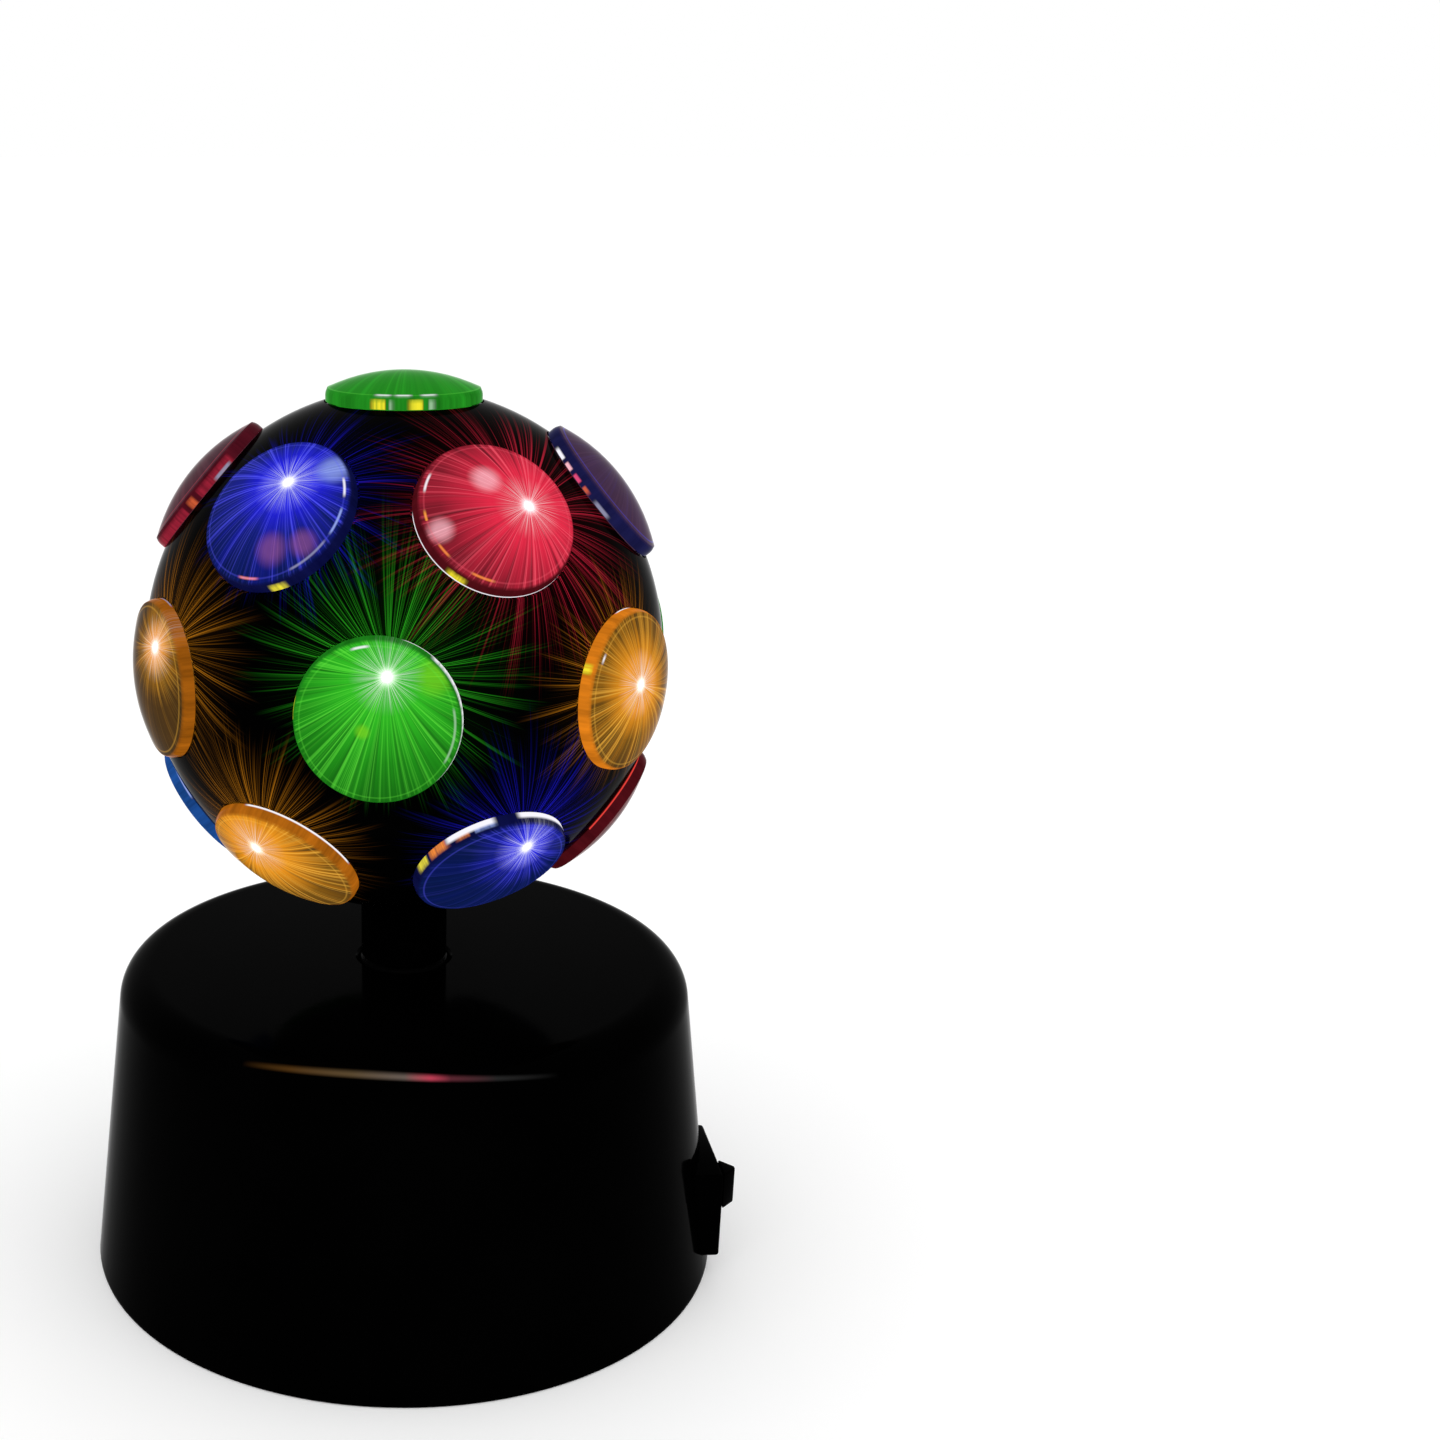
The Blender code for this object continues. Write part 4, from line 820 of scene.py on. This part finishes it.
def glow_round_light(finish, offset, tones, reach, seed):
    """The lens's painted glow, which darkens away from its light, with its rays and painted darker
    gaps between them, as (colour, fine rays, distance from the light)."""
    near, body, far, deep = tones
    broad, fine, distance = ray_pattern(finish, offset, seed)
    ground = finish.ramp(finish.times(distance, 0.6 / reach), (
        (0.0, near), (0.09, body), (0.24, body), (0.52, far), (0.9, deep)), "LINEAR")
    gaps = finish.span(finish.noise(finish.vector(
        "ADD", finish.vector("NORMALIZE", offset), (seed, 0.0, 0.0)), 13.0, 3.0, 0.7),
        0.36, 0.52, 1.0, 0.0)
    dark = finish.times(gaps, finish.span(distance, 0.08, 0.8, 0.0, 0.88))
    glow = finish.blend(dark, ground, shade(deep, 1.4))
    fading = finish.span(distance, 0.0, 1.8 * reach, 1.0, min(0.16, 0.3 * reach * reach))
    glow = finish.blend(finish.times(broad, finish.times(fading, 0.4)), glow, body)
    lines = finish.times(fine, finish.sum("MULTIPLY_ADD", broad, 0.55, third=0.45))
    return finish.blend(finish.times(lines, fading), glow, near), fine, distance


def star_over(finish, glow, offset, distance, seed):
    """The light itself, painted: a white point in a halo, with short white spokes."""
    spokes = finish.span(finish.noise(finish.vector(
        "ADD", finish.vector("NORMALIZE", offset), (0.0, seed, 0.0)), 30.0, 2.0, 0.6), 0.48, 0.62)
    star = finish.sum("POWER", finish.span(distance, 0.04, 0.46, 1.0, 0.0), 1.35)
    glow = finish.blend(finish.times(spokes, star), glow, WHITE)
    halo = finish.sum("POWER", finish.span(distance, 0.02, 0.19, 1.0, 0.0), 3.0)
    return finish.blend(halo, glow, (2.0, 2.0, 2.0))


def lens_finish(name, looks, seed):
    """Clear coloured plastic of one lens, with the light from inside painted on as glow: a bright
    point with its rays, colour that darkens away from it, a painted light line at the ledge inside
    the rim, painted glints where the rim catches the light and soft painted reflections."""
    shown = LENSES[name]
    near, body, far, deep, wall = (screen_colour(*tone) for tone in LENS_COLOURS[shown["colour"]])
    finish = Finish(f"{name}_plastic")
    plan = finish.own_map("plan")
    height = finish.split(finish.own_map("wall"))[0]
    radius = finish.vector("LENGTH", plan)
    parts = finish.split(plan)
    angle = finish.sum("ARCTAN2", parts[1], parts[0])
    offset = finish.vector("SUBTRACT", plan, (*shown["light"], 0.0))
    glow, fine, distance = glow_round_light(finish, offset, (near, body, far, deep),
                                            shown["reach"], seed)
    # Painted reflections: soft patches of light in the dome
    for at_x, at_y, size, tone in shown["patches"]:
        off = finish.vector("LENGTH", finish.vector("SUBTRACT", plan, (at_x, at_y, 0.0)))
        patch = finish.span(off, 0.25 * size, size, 0.9, 0.0, "SMOOTHSTEP")
        patch = finish.times(patch, finish.sum("MULTIPLY_ADD", fine, 0.3, third=0.7))
        glow = finish.blend(patch, glow, screen_colour(*GLINTS[tone]))
    # The seat's ledge shows as a fine painted light line inside the rim, with painted glints on it
    off_ledge = finish.away(radius, shown["ledge_at"])
    glow = finish.blend(finish.span(off_ledge, 0.004, 0.014, 0.22, 0.0), glow, near)
    if shown["ledge"]:
        on_ledge = finish.times(finish.span(radius, RIM_START, RIM_END, 1.0, 0.0),
                                finish.span(off_ledge, 0.004, shown["ledge_width"], 0.9, 0.0))
        glow = finish.blend(on_ledge, glow, finish.around(angle, shown["ledge"]), "LIGHTEN")
    # The wall of the rim glows in its darker colour, with painted glints like small prisms
    mottle = finish.span(finish.noise(plan, 5.0, 3.0, 0.7), 0.3, 0.7, 0.55, 1.25)
    plain = finish.blend(1.0, shade(wall, shown["wall_share"]), finish.add(
        "ShaderNodeCombineColor", ((0, mottle), (1, mottle), (2, mottle))).outputs[0], "MULTIPLY")
    glow = finish.blend(finish.span(radius, 0.955, RIM_START), glow, plain)
    on_wall = finish.span(radius, RIM_START, RIM_END)
    if shown["wall"]:
        streaks = finish.span(finish.noise(finish.vector("MULTIPLY", plan, (3.0, 3.0, 3.0)),
                                           9.0, 2.0), 0.3, 0.62, 0.45, 1.0)
        streaks = finish.times(streaks, finish.span(height, 0.5, 0.95, 1.0, 0.2))
        glow = finish.blend(finish.times(on_wall, streaks), glow,
                            finish.around(angle, shown["wall"]), "LIGHTEN")
    # Painted highlights: bright lines along the foot of the wall
    if shown["foot"]:
        at_foot = finish.times(on_wall, finish.span(
            height, shown["foot_share"] * 0.7, shown["foot_share"] * 1.1, 1.0, 0.0))
        glow = finish.blend(at_foot, glow, finish.around(angle, shown["foot"]), "LIGHTEN")
    glow = star_over(finish, glow, offset, distance, seed)
    finish.set(Base_Color=finish.ramp(finish.noise(plan, 2.0), (
        (0.3, shade(body, 0.02)), (0.7, shade(body, 0.04)))),
        Roughness=finish.span(finish.noise(plan, 6.0, 4.0), 0.3, 0.7, 0.05, 0.10),
        IOR=looks.lens_ior, Emission_Color=glow, Emission_Strength=looks.glow)
    finish.bump(finish.noise(plan, 14.0, 2.0), 0.000004)
    return finish.material


def ball_finish(sizes, looks):
    """Gloss black of the ball, with the painted rays of light that the lit lenses throw over it."""
    finish = gloss_black("ball_black_with_painted_rays", looks)
    spot = finish.object_place()
    total = None
    for index, (name, azimuth, elevation) in enumerate(lens_places()):
        shown = LENSES[name]
        matrix = lens_matrix(azimuth, elevation, lens_seat(sizes)) @ Matrix.Translation(
            (*(share * sizes.lens_radius for share in shown["light"]), 0.0))
        local = finish.add("ShaderNodeMapping", (
            ("Vector", spot), ("Location", matrix.translation), ("Rotation", matrix.to_euler()),
            ("Scale", (sizes.lens_radius,) * 3)), vector_type="TEXTURE").outputs["Vector"]
        flat = finish.vector("MULTIPLY", local, (1.0, 1.0, 0.0))
        broad, fine, distance = ray_pattern(finish, flat, BALL_SEED_STEP * index, 2.0)
        # The painted rays end at uneven lengths, and only what lies in front of the light's seat is
        # lit
        far_end = finish.span(finish.noise(finish.vector("NORMALIZE", flat), 7.0, 2.0), 0.35,
                              0.65, 0.7 * shown["throw"], shown["throw"])
        fade = finish.sum("POWER", finish.span(finish.sum("DIVIDE", distance, far_end), 0.25, 1.0,
                                               1.0, 0.0), 1.7)
        rays = finish.times(fine, finish.sum("MULTIPLY_ADD", broad, 0.7, third=0.3))
        rays = finish.sum("MULTIPLY_ADD", rays, 1.0, third=0.01)
        in_front = finish.span(finish.split(local)[2], -1.4, -0.2)
        rays = finish.times(rays, fade, in_front, looks.rays)
        tint = screen_colour(*LENS_COLOURS[shown["colour"]][1])
        scaled = finish.blend(rays, BLACK, tint)
        total = scaled if total is None else finish.blend(1.0, total, scaled, "ADD")
    finish.set(Emission_Color=total, Emission_Strength=1.0)
    return finish.material


def base_finish(looks):
    """Gloss black of the base, with a painted reflection of the lenses' light as a streak on its
    shoulder.
    """
    finish = gloss_black("base_black_with_painted_reflection", looks)
    spot = finish.object_place()
    parts = finish.split(spot)
    angle = finish.sum("ARCTAN2", parts[0], finish.times(parts[1], -1.0))
    # The painted reflection: a thin streak that sags away from its middle, coloured along its
    # length
    shifted = finish.sum("ADD", angle, STREAK_TURN)
    sag = finish.times(finish.sum("POWER", finish.sum("ABSOLUTE", shifted), 2.0), STREAK_SAG)
    line = finish.sum("SUBTRACT", BASE_HEIGHT - STREAK_DEPTH, sag)
    streak = finish.span(finish.away(parts[2], line), 0.0, STREAK_HALF_WIDTH, 1.0, 0.0,
                         "SMOOTHSTEP")
    tone = finish.ramp(finish.span(angle, *STREAK_ENDS), (
        (0.0, BLACK), (0.16, (0.07, 0.03, 0.006)), (0.36, (0.10, 0.065, 0.03)),
        (0.52, (0.13, 0.10, 0.085)), (0.60, (0.5, 0.05, 0.09)), (0.66, (0.10, 0.02, 0.03)),
        (0.80, (0.018, 0.018, 0.018)), (1.0, BLACK)), "LINEAR")
    finish.set(Emission_Color=finish.blend(streak, BLACK, tone), Emission_Strength=1.0)
    return finish.material


def map_lens(piece, radius, rim):
    """Map a lens by its own plane, with its middle at (0, 0) and its rim at 1, and by height."""
    plan = piece.data.uv_layers.new(name="plan")
    wall = piece.data.uv_layers.new(name="wall")
    for loop in piece.data.loops:
        spot = piece.data.vertices[loop.vertex_index].co
        plan.data[loop.index].uv = (spot.x / radius, spot.y / radius)
        wall.data[loop.index].uv = (spot.z / rim, 0.0)


def make_base_shell(sizes, looks):
    """The tapered shell: flat top, rolled shoulder, straight side, rounded foot and open inside."""
    lean = math.atan2(BASE_FOOT_RADIUS - sizes.top_radius, BASE_HEIGHT)
    roll = sizes.shoulder
    centre_z = BASE_HEIGHT - roll
    slope = (BASE_FOOT_RADIUS - sizes.top_radius) / BASE_HEIGHT
    centre_r = BASE_FOOT_RADIUS - slope * centre_z - roll / math.cos(lean)
    side_angle = math.degrees(lean)
    hold = sizes.foot_edge
    foot = BASE_FOOT_RADIUS
    inner_foot = foot - sizes.wall
    outside = [(sizes.neck_hole, BASE_HEIGHT - hold), (sizes.neck_hole + hold, BASE_HEIGHT),
               (sizes.neck_hole + 3 * hold, BASE_HEIGHT), (centre_r - hold, BASE_HEIGHT)]
    outside += arc((centre_r, centre_z), roll, 90.0, side_angle, SHOULDER_STEPS)
    end_r, end_z = outside[-1]
    outside += [(end_r + slope * hold, end_z - hold), (foot - slope * 2 * hold, 2 * hold)]
    outside += [(foot - slope * hold, hold), (foot - hold / 3, hold / 3), (foot - hold, 0.0)]
    inside = [(inner_foot, 0.0)]
    inside += arc((centre_r, centre_z), roll - sizes.wall, side_angle, 90.0,
                  FILLET_STEPS)
    inside.append((sizes.neck_hole, BASE_HEIGHT - sizes.wall))
    shell = turn("base_housing", sizes.sides, outside + inside, open_ring=True)
    switch = bpy.context.scene.switch_sizes
    opening = block("switch_opening", (switch.depth + OPENING_EXTRA, switch.width + CLOSE_FIT,
                                       SWITCH_TOP - SWITCH_BOTTOM + CLOSE_FIT),
                    (-switch.depth / 2, 0.0, (SWITCH_TOP + SWITCH_BOTTOM) / 2))
    cut(shell, place(opening, SWITCH_FRAME))
    complete(shell, SHELL_ANGLE, base_finish(looks), "base", "black_gloss", "base_shell")


def lens_hole_tool(sizes):
    """One stepped cutter for all nineteen lens seats."""
    seat = lens_seat(sizes)
    hole = sizes.lens_radius - sizes.lens_flange + FIT
    rest = sizes.lens_radius + FIT / 2
    profile = [(hole, seat - 4 * sizes.wall), (hole, seat - FIT), (rest, seat - FIT),
               (rest, sizes.radius + sizes.wall)]
    first = turn("lens_seat_cutter", sizes.lens_sides, profile)
    copies = []
    for name, azimuth, elevation in lens_places():
        copies.append(copied(first, f"cutter_{name}", lens_matrix(azimuth, elevation, 0.0)))
    drop(first)
    take(copies[0])
    for tool in copies:
        tool.select_set(True)
    bpy.ops.object.join()
    return bpy.context.object


def ball_sphere(name, sizes):
    """A whole sphere at the ball's place."""
    clear_selection()
    bpy.ops.mesh.primitive_uv_sphere_add(
        segments=sizes.segments, ring_count=sizes.segments // 2, radius=sizes.radius,
        location=(0.0, 0.0, BALL_CENTRE))
    piece = settle(name)
    edit(piece)
    return piece


def trim(height, keep_above):
    """In edit mode, cut all that is selected at a height and keep one side."""
    bpy.ops.mesh.select_all(action="SELECT")
    bpy.ops.mesh.bisect(plane_co=(0.0, 0.0, height), plane_no=(0.0, 0.0, 1.0),
                        threshold=SAME_PLACE, clear_inner=keep_above, clear_outer=not keep_above)


def make_ball(sizes, looks):
    """The two halves of the ball, the lower one with its neck and hub tube."""
    look = ball_finish(sizes, looks)
    upper = ball_sphere("ball_top_shell", sizes)
    trim(BALL_CENTRE + SEAM_GAP, True)
    close_shape(upper)

    lower = ball_sphere("ball_bottom_shell", sizes)
    trim(BALL_CENTRE - SEAM_GAP, False)
    ring = sizes.neck + NECK_FLARE
    ring_z = BALL_CENTRE - math.sqrt(sizes.radius ** 2 - ring ** 2)
    trim(ring_z, True)
    pick(lower, "EDGE", lambda e: all(abs(v.co.z - ring_z) < SAME_PLACE for v in e.verts))
    round_in = arc((ring, ring_z - NECK_FLARE), NECK_FLARE, 100.0, 180.0, FILLET_STEPS)[1:]
    neck = [*round_in, (sizes.neck, NECK_FOOT + 3 * NECK_EDGE),
            (sizes.neck, NECK_FOOT + NECK_EDGE), (sizes.neck - NECK_EDGE, NECK_FOOT),
            (sizes.hub, NECK_FOOT), (sizes.hub, HUB_BOTTOM)]
    grow((ring, ring_z), neck)
    close_shape(lower)

    holes = lens_hole_tool(sizes)
    for half, node in ((upper, "ball_upper_half"), (lower, "ball_lower_half")):
        apply_change(half, "SOLIDIFY", thickness=sizes.wall, offset=-1.0)
        apply_change(half, "BOOLEAN", operation="DIFFERENCE", solver="EXACT", object=holes)
        complete(half, SHELL_ANGLE, look, "ball", "black_gloss", node)
    drop(holes)


def lens_profile(sizes):
    """(radius, height) points of a lens from its hollow to the middle of its dome."""
    radius = sizes.lens_radius
    rise = sizes.lens_dome
    sphere = (radius ** 2 + rise ** 2) / (2 * rise)
    centre = sizes.lens_rim + rise - sphere
    wall = sizes.lens_flange
    spigot = radius - wall
    hollow = spigot - wall
    edge = sizes.lens_edge

    def dome(at, less=0.0):
        return at, centre + math.sqrt((sphere - less) ** 2 - at ** 2)

    profile = [dome(hollow * share, wall) for share in HOLLOW_SHARES]
    profile += [(hollow, profile[-1][1] - wall / 3), (hollow, -sizes.lens_spigot),
                (spigot, -sizes.lens_spigot), (spigot, 0.0), (radius - edge / 8, 0.0),
                (radius, edge / 8), (radius, edge), (radius, sizes.lens_rim - edge)]
    top_r, top_z = dome(radius - edge)
    profile += [(radius - edge * 0.1, sizes.lens_rim - edge * 0.45),
                (radius - edge * 0.4, (sizes.lens_rim + top_z) / 2), (top_r, top_z)]
    return profile + [dome(radius * share) for share in DOME_SHARES]


def make_lenses(sizes, looks):
    """Nineteen lenses, modelled once and copied to their seats."""
    first = turn("lens", sizes.lens_sides, lens_profile(sizes))
    smooth(first, PART_ANGLE)
    map_lens(first, sizes.lens_radius, sizes.lens_rim)
    seat = lens_seat(sizes)
    for index, (name, azimuth, elevation) in enumerate(lens_places()):
        dome = copied(first, f"{name}_dome", lens_matrix(azimuth, elevation, seat))
        dress(dome, lens_finish(name, looks, LENS_SEED_STEP * index + LENS_SEED_START))
        stand_for(dome, "ball", SLOTS[LENSES[name]["colour"]], name)
    drop(first)


def make_switch(sizes, looks):
    """The switch housing in its opening and the knob that slides in it."""
    look = gloss_black("switch_black", looks).material
    middle_z = (SWITCH_TOP + SWITCH_BOTTOM) / 2
    knob_z = SWITCH_TOP - sizes.knob_height / 2
    housing = block("switch_case", (sizes.depth, sizes.width, SWITCH_TOP - SWITCH_BOTTOM),
                    (-sizes.depth / 2, 0.0, middle_z), sizes.edge)
    slot = block("switch_slot", (3 * sizes.depth, sizes.knob_neck + 2 * FIT,
                                 sizes.knob_neck + sizes.travel + 2 * FIT),
                 (-sizes.depth, sizes.knob_offset, knob_z - sizes.travel / 2))
    cut(housing, slot)
    place(housing, SWITCH_FRAME)
    complete(housing, PART_ANGLE, look, "base", "black_gloss", "switch_housing")

    crest = FIT + sizes.knob_reach
    knob = block("switch_slider", (crest - CLOSE_FIT, sizes.knob_width, sizes.knob_height),
                 ((crest + CLOSE_FIT) / 2, sizes.knob_offset, knob_z))
    edit(knob)
    pick(knob, "FACE", lambda f: f.normal.x > 0.9)
    bpy.ops.transform.resize(value=(1.0, sizes.knob_crest / sizes.knob_width, 1.0),
                             center_override=(crest, sizes.knob_offset, knob_z))
    round_edges(knob, sizes.knob_crest / 3)
    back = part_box("switch_knob")[0].x - SWITCH_X
    length = FIT + sizes.edge - back
    neck = block("switch_stem", (length, sizes.knob_neck, sizes.knob_neck),
                 (back + length / 2, sizes.knob_offset, knob_z), STEM_EDGE)
    cut(knob, neck, "UNION")
    place(knob, SWITCH_FRAME)
    complete(knob, PART_ANGLE, look, "knob", "black_gloss", "switch_knob")


def make_screw(name, node, look):
    """A screw with a rounded head and a cross recess, at the place of its node."""
    low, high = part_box(node)
    centre = middle(node)
    head = (high.x - low.x) / 2
    shank = SCREW_SHANK
    head_height = DOOR_SCREW_HEAD if node.startswith("door") else SCREW_HEAD
    neck_z = low.z + head_height
    profile = [(head * 0.55, low.z), (head * 0.86, low.z + head_height * 0.12),
               (head, low.z + head_height * 0.45), (head, neck_z), (shank, neck_z),
               (shank, high.z - shank), (shank * 0.4, high.z)]
    screw = turn(name, SCREW_SIDES, profile)
    depth = head_height * 0.6
    for size in ((head * 1.05, head * 0.26, depth * 2), (head * 0.26, head * 1.05, depth * 2)):
        cut(screw, block("cross", size, (0.0, 0.0, low.z)))
    place(screw, Matrix.Translation((centre.x, centre.y, 0.0)))
    complete(screw, SCREW_ANGLE, look, "base", "steel", node)


def make_screws():
    """The screws that hold the plate, the battery door and the deck."""
    steel = metal("screw_steel", (0.56, 0.57, 0.58), 0.3, (1.0, 1.0, 6.0))
    for node in sorted(NODES):
        if "_screw_" in node:
            make_screw(f"{node}_cross", node, steel)


def finish_works(looks):
    """Finishes for the solids that stay as they are, most of them inside the base."""
    matt = moulded("underside_black", tuple(looks.matt_black), 0.5, 2200.0, 0.00002)
    grey = moulded("deck_grey", (0.30, 0.30, 0.29), 0.5)
    white = moulded("gear_white", (0.72, 0.72, 0.69), 0.4)
    bush = moulded("bushing_black", (0.002, 0.002, 0.002), 0.4, ior=1.06)
    steel = metal("plated_steel", (0.55, 0.56, 0.57), 0.32, (1.0, 1.0, 8.0))
    brass = metal("pinion_brass", (0.72, 0.5, 0.2), 0.3, (1.0, 1.0, 8.0))
    lead = moulded("lead_red", (0.32, 0.012, 0.012), 0.45, 3000.0)
    works = {
        "base_plate": matt, "battery_door": matt, "gear_deck": grey, "led_stalk": grey,
        "drive_gear": white, "idler_gear": white, "hub_bushing": bush, "motor_pinion": brass,
        "motor": steel, "motor_shaft": steel, "idler_axle": steel, "switch_body": steel,
        "led_board": board_finish("lamp_board"), "led": clear_lamp("lamp_epoxy"),
        "led_lead": lead, "motor_lead": lead, "battery_lead": lead,
    }
    for node in NODES:
        if node.startswith("contact"):
            works[node] = steel
    sleeves = {1: cell_sleeve("cell_sleeve_back", 1.0), -1: cell_sleeve("cell_sleeve_front", -1.0)}
    for number, side in ((1, 1), (2, -1), (3, 1)):
        works[f"battery_{number}"] = sleeves[side]
    for node, look in works.items():
        dress(NODES[node], look)


# The stage


def make_floor(stage):
    """A wide pale floor, white where it is seen or mirrored, that keeps the light's shadow."""
    clear_selection()
    bpy.ops.mesh.primitive_grid_add(x_subdivisions=8, y_subdivisions=8, size=stage.floor_size)
    floor = settle("studio_floor")
    finish = Finish("pale_floor")
    mist = finish.noise(finish.object_place(), 3.0)
    pale = finish.ramp(mist, ((0.2, (0.955, 0.955, 0.955)), (0.8, (0.975, 0.975, 0.975))))
    path = finish.add("ShaderNodeLightPath").outputs
    seen = finish.sum("MAXIMUM", path["Is Camera Ray"], finish.sum(
        "MAXIMUM", path["Is Glossy Ray"], path["Is Transmission Ray"]))
    finish.set(Base_Color=pale, Roughness=0.9, Specular_IOR_Level=0.0, Emission_Color=pale,
               Emission_Strength=finish.sum("MULTIPLY", seen, stage.floor_lift))
    dress(floor, finish.material)


def make_world(stage):
    """White all round."""
    world = bpy.data.worlds.new("white_studio")
    bpy.context.scene.world = world
    world.use_nodes = True
    background = world.node_tree.nodes["Background"]
    background.inputs["Color"].default_value = (1.0, 1.0, 1.0, 1.0)
    background.inputs["Strength"].default_value = stage.surround


def make_lamp(name, spot, power):
    """A soft square lamp that looks at the ball."""
    clear_selection()
    bpy.ops.object.light_add(type="AREA", location=spot)
    lamp = bpy.context.object
    lamp.name = name
    lamp.data.size = LAMP_SIZE
    lamp.data.energy = power
    aim = Vector((0.0, 0.0, BALL_CENTRE)) - Vector(spot)
    lamp.rotation_euler = aim.to_track_quat("-Z", "Y").to_euler()
    lamp.visible_glossy = False


def make_camera():
    """The camera at the photograph's place: in front, above, and off centre in its frame."""
    clear_selection()
    bpy.ops.object.camera_add(location=CAMERA_PLACE,
                              rotation=(math.pi / 2 - CAMERA_DIP, 0.0, 0.0))
    camera = bpy.context.object
    camera.name = "photo_camera"
    camera.data.sensor_width = 36.0
    camera.data.lens = CAMERA_LENS
    camera.data.shift_x, camera.data.shift_y = CAMERA_SHIFT
    camera.data.clip_start = 0.01
    bpy.context.scene.camera = camera


# Operators


class PARTY_OT_base(bpy.types.Operator):
    """Model the base shell"""

    bl_idname = "party_light.add_base_shell"
    bl_label = "Base shell"

    def execute(self, context):
        scene = context.scene
        make_base_shell(scene.base_sizes, scene.light_looks)
        return {"FINISHED"}


class PARTY_OT_ball(bpy.types.Operator):
    """Model the two ball halves with their lens seats and the neck"""

    bl_idname = "party_light.add_ball_halves"
    bl_label = "Ball halves"

    def execute(self, context):
        scene = context.scene
        make_ball(scene.ball_sizes, scene.light_looks)
        return {"FINISHED"}


class PARTY_OT_lenses(bpy.types.Operator):
    """Model one lens and copy it to its nineteen seats"""

    bl_idname = "party_light.add_lenses"
    bl_label = "Lenses"

    def execute(self, context):
        scene = context.scene
        make_lenses(scene.ball_sizes, scene.light_looks)
        return {"FINISHED"}


class PARTY_OT_switch(bpy.types.Operator):
    """Model the slide switch's housing and knob"""

    bl_idname = "party_light.add_switch"
    bl_label = "Slide switch"

    def execute(self, context):
        scene = context.scene
        make_switch(scene.switch_sizes, scene.light_looks)
        return {"FINISHED"}


class PARTY_OT_screws(bpy.types.Operator):
    """Model the screws that hold the plate, the battery door and the deck"""

    bl_idname = "party_light.add_screws"
    bl_label = "Screws"

    def execute(self, context):
        make_screws()
        return {"FINISHED"}


class PARTY_OT_works(bpy.types.Operator):
    """Finish the plates, the drive, the cells and the lamp"""

    bl_idname = "party_light.finish_works"
    bl_label = "Works inside"

    def execute(self, context):
        finish_works(context.scene.light_looks)
        return {"FINISHED"}


class PARTY_OT_stage(bpy.types.Operator):
    """Set up the floor, the surround, the lamps and the camera"""

    bl_idname = "party_light.set_stage"
    bl_label = "Stage"

    def execute(self, context):
        stage = context.scene.stage_looks
        make_floor(stage)
        make_world(stage)
        for name, spot in LAMPS.items():
            make_lamp(name, spot, stage.lamp_power)
        make_camera()
        context.scene.view_settings.view_transform = "Standard"
        return {"FINISHED"}


OPERATORS = (PARTY_OT_base, PARTY_OT_ball, PARTY_OT_lenses, PARTY_OT_switch, PARTY_OT_screws,
             PARTY_OT_works, PARTY_OT_stage)
GROUPS = {"base_sizes": BaseSizes, "ball_sizes": BallSizes, "switch_sizes": SwitchSizes,
          "light_looks": LightLooks, "stage_looks": StageLooks}


class PARTY_PT_panel(bpy.types.Panel):
    """Lists the pieces of the light"""

    bl_idname = "PARTY_PT_panel"
    bl_label = "Mini party light"
    bl_space_type = "VIEW_3D"
    bl_region_type = "UI"
    bl_category = "Party Light"

    def draw(self, context):
        for operator in OPERATORS:
            self.layout.operator(operator.bl_idname)
        for name in GROUPS:
            box = self.layout.box()
            group = getattr(context.scene, name)
            for key in group.bl_rna.properties.keys():
                if key not in ("rna_type", "name"):
                    box.prop(group, key)


CLASSES = (*GROUPS.values(), *OPERATORS, PARTY_PT_panel)


def register():
    """Add the classes and the scene's settings."""
    for item in CLASSES:
        bpy.utils.register_class(item)
    for name, group in GROUPS.items():
        setattr(bpy.types.Scene, name, PointerProperty(type=group))


def unregister():
    """Remove the settings and the classes."""
    for name in GROUPS:
        delattr(bpy.types.Scene, name)
    for item in reversed(CLASSES):
        bpy.utils.unregister_class(item)


def main():
    """Make every piece and the stage."""
    register()
    bpy.ops.party_light.add_base_shell()
    bpy.ops.party_light.add_ball_halves()
    bpy.ops.party_light.add_lenses()
    bpy.ops.party_light.add_switch()
    bpy.ops.party_light.add_screws()
    bpy.ops.party_light.finish_works()
    bpy.ops.party_light.set_stage()
    clear_selection()


if __name__ == "__main__":
    main()
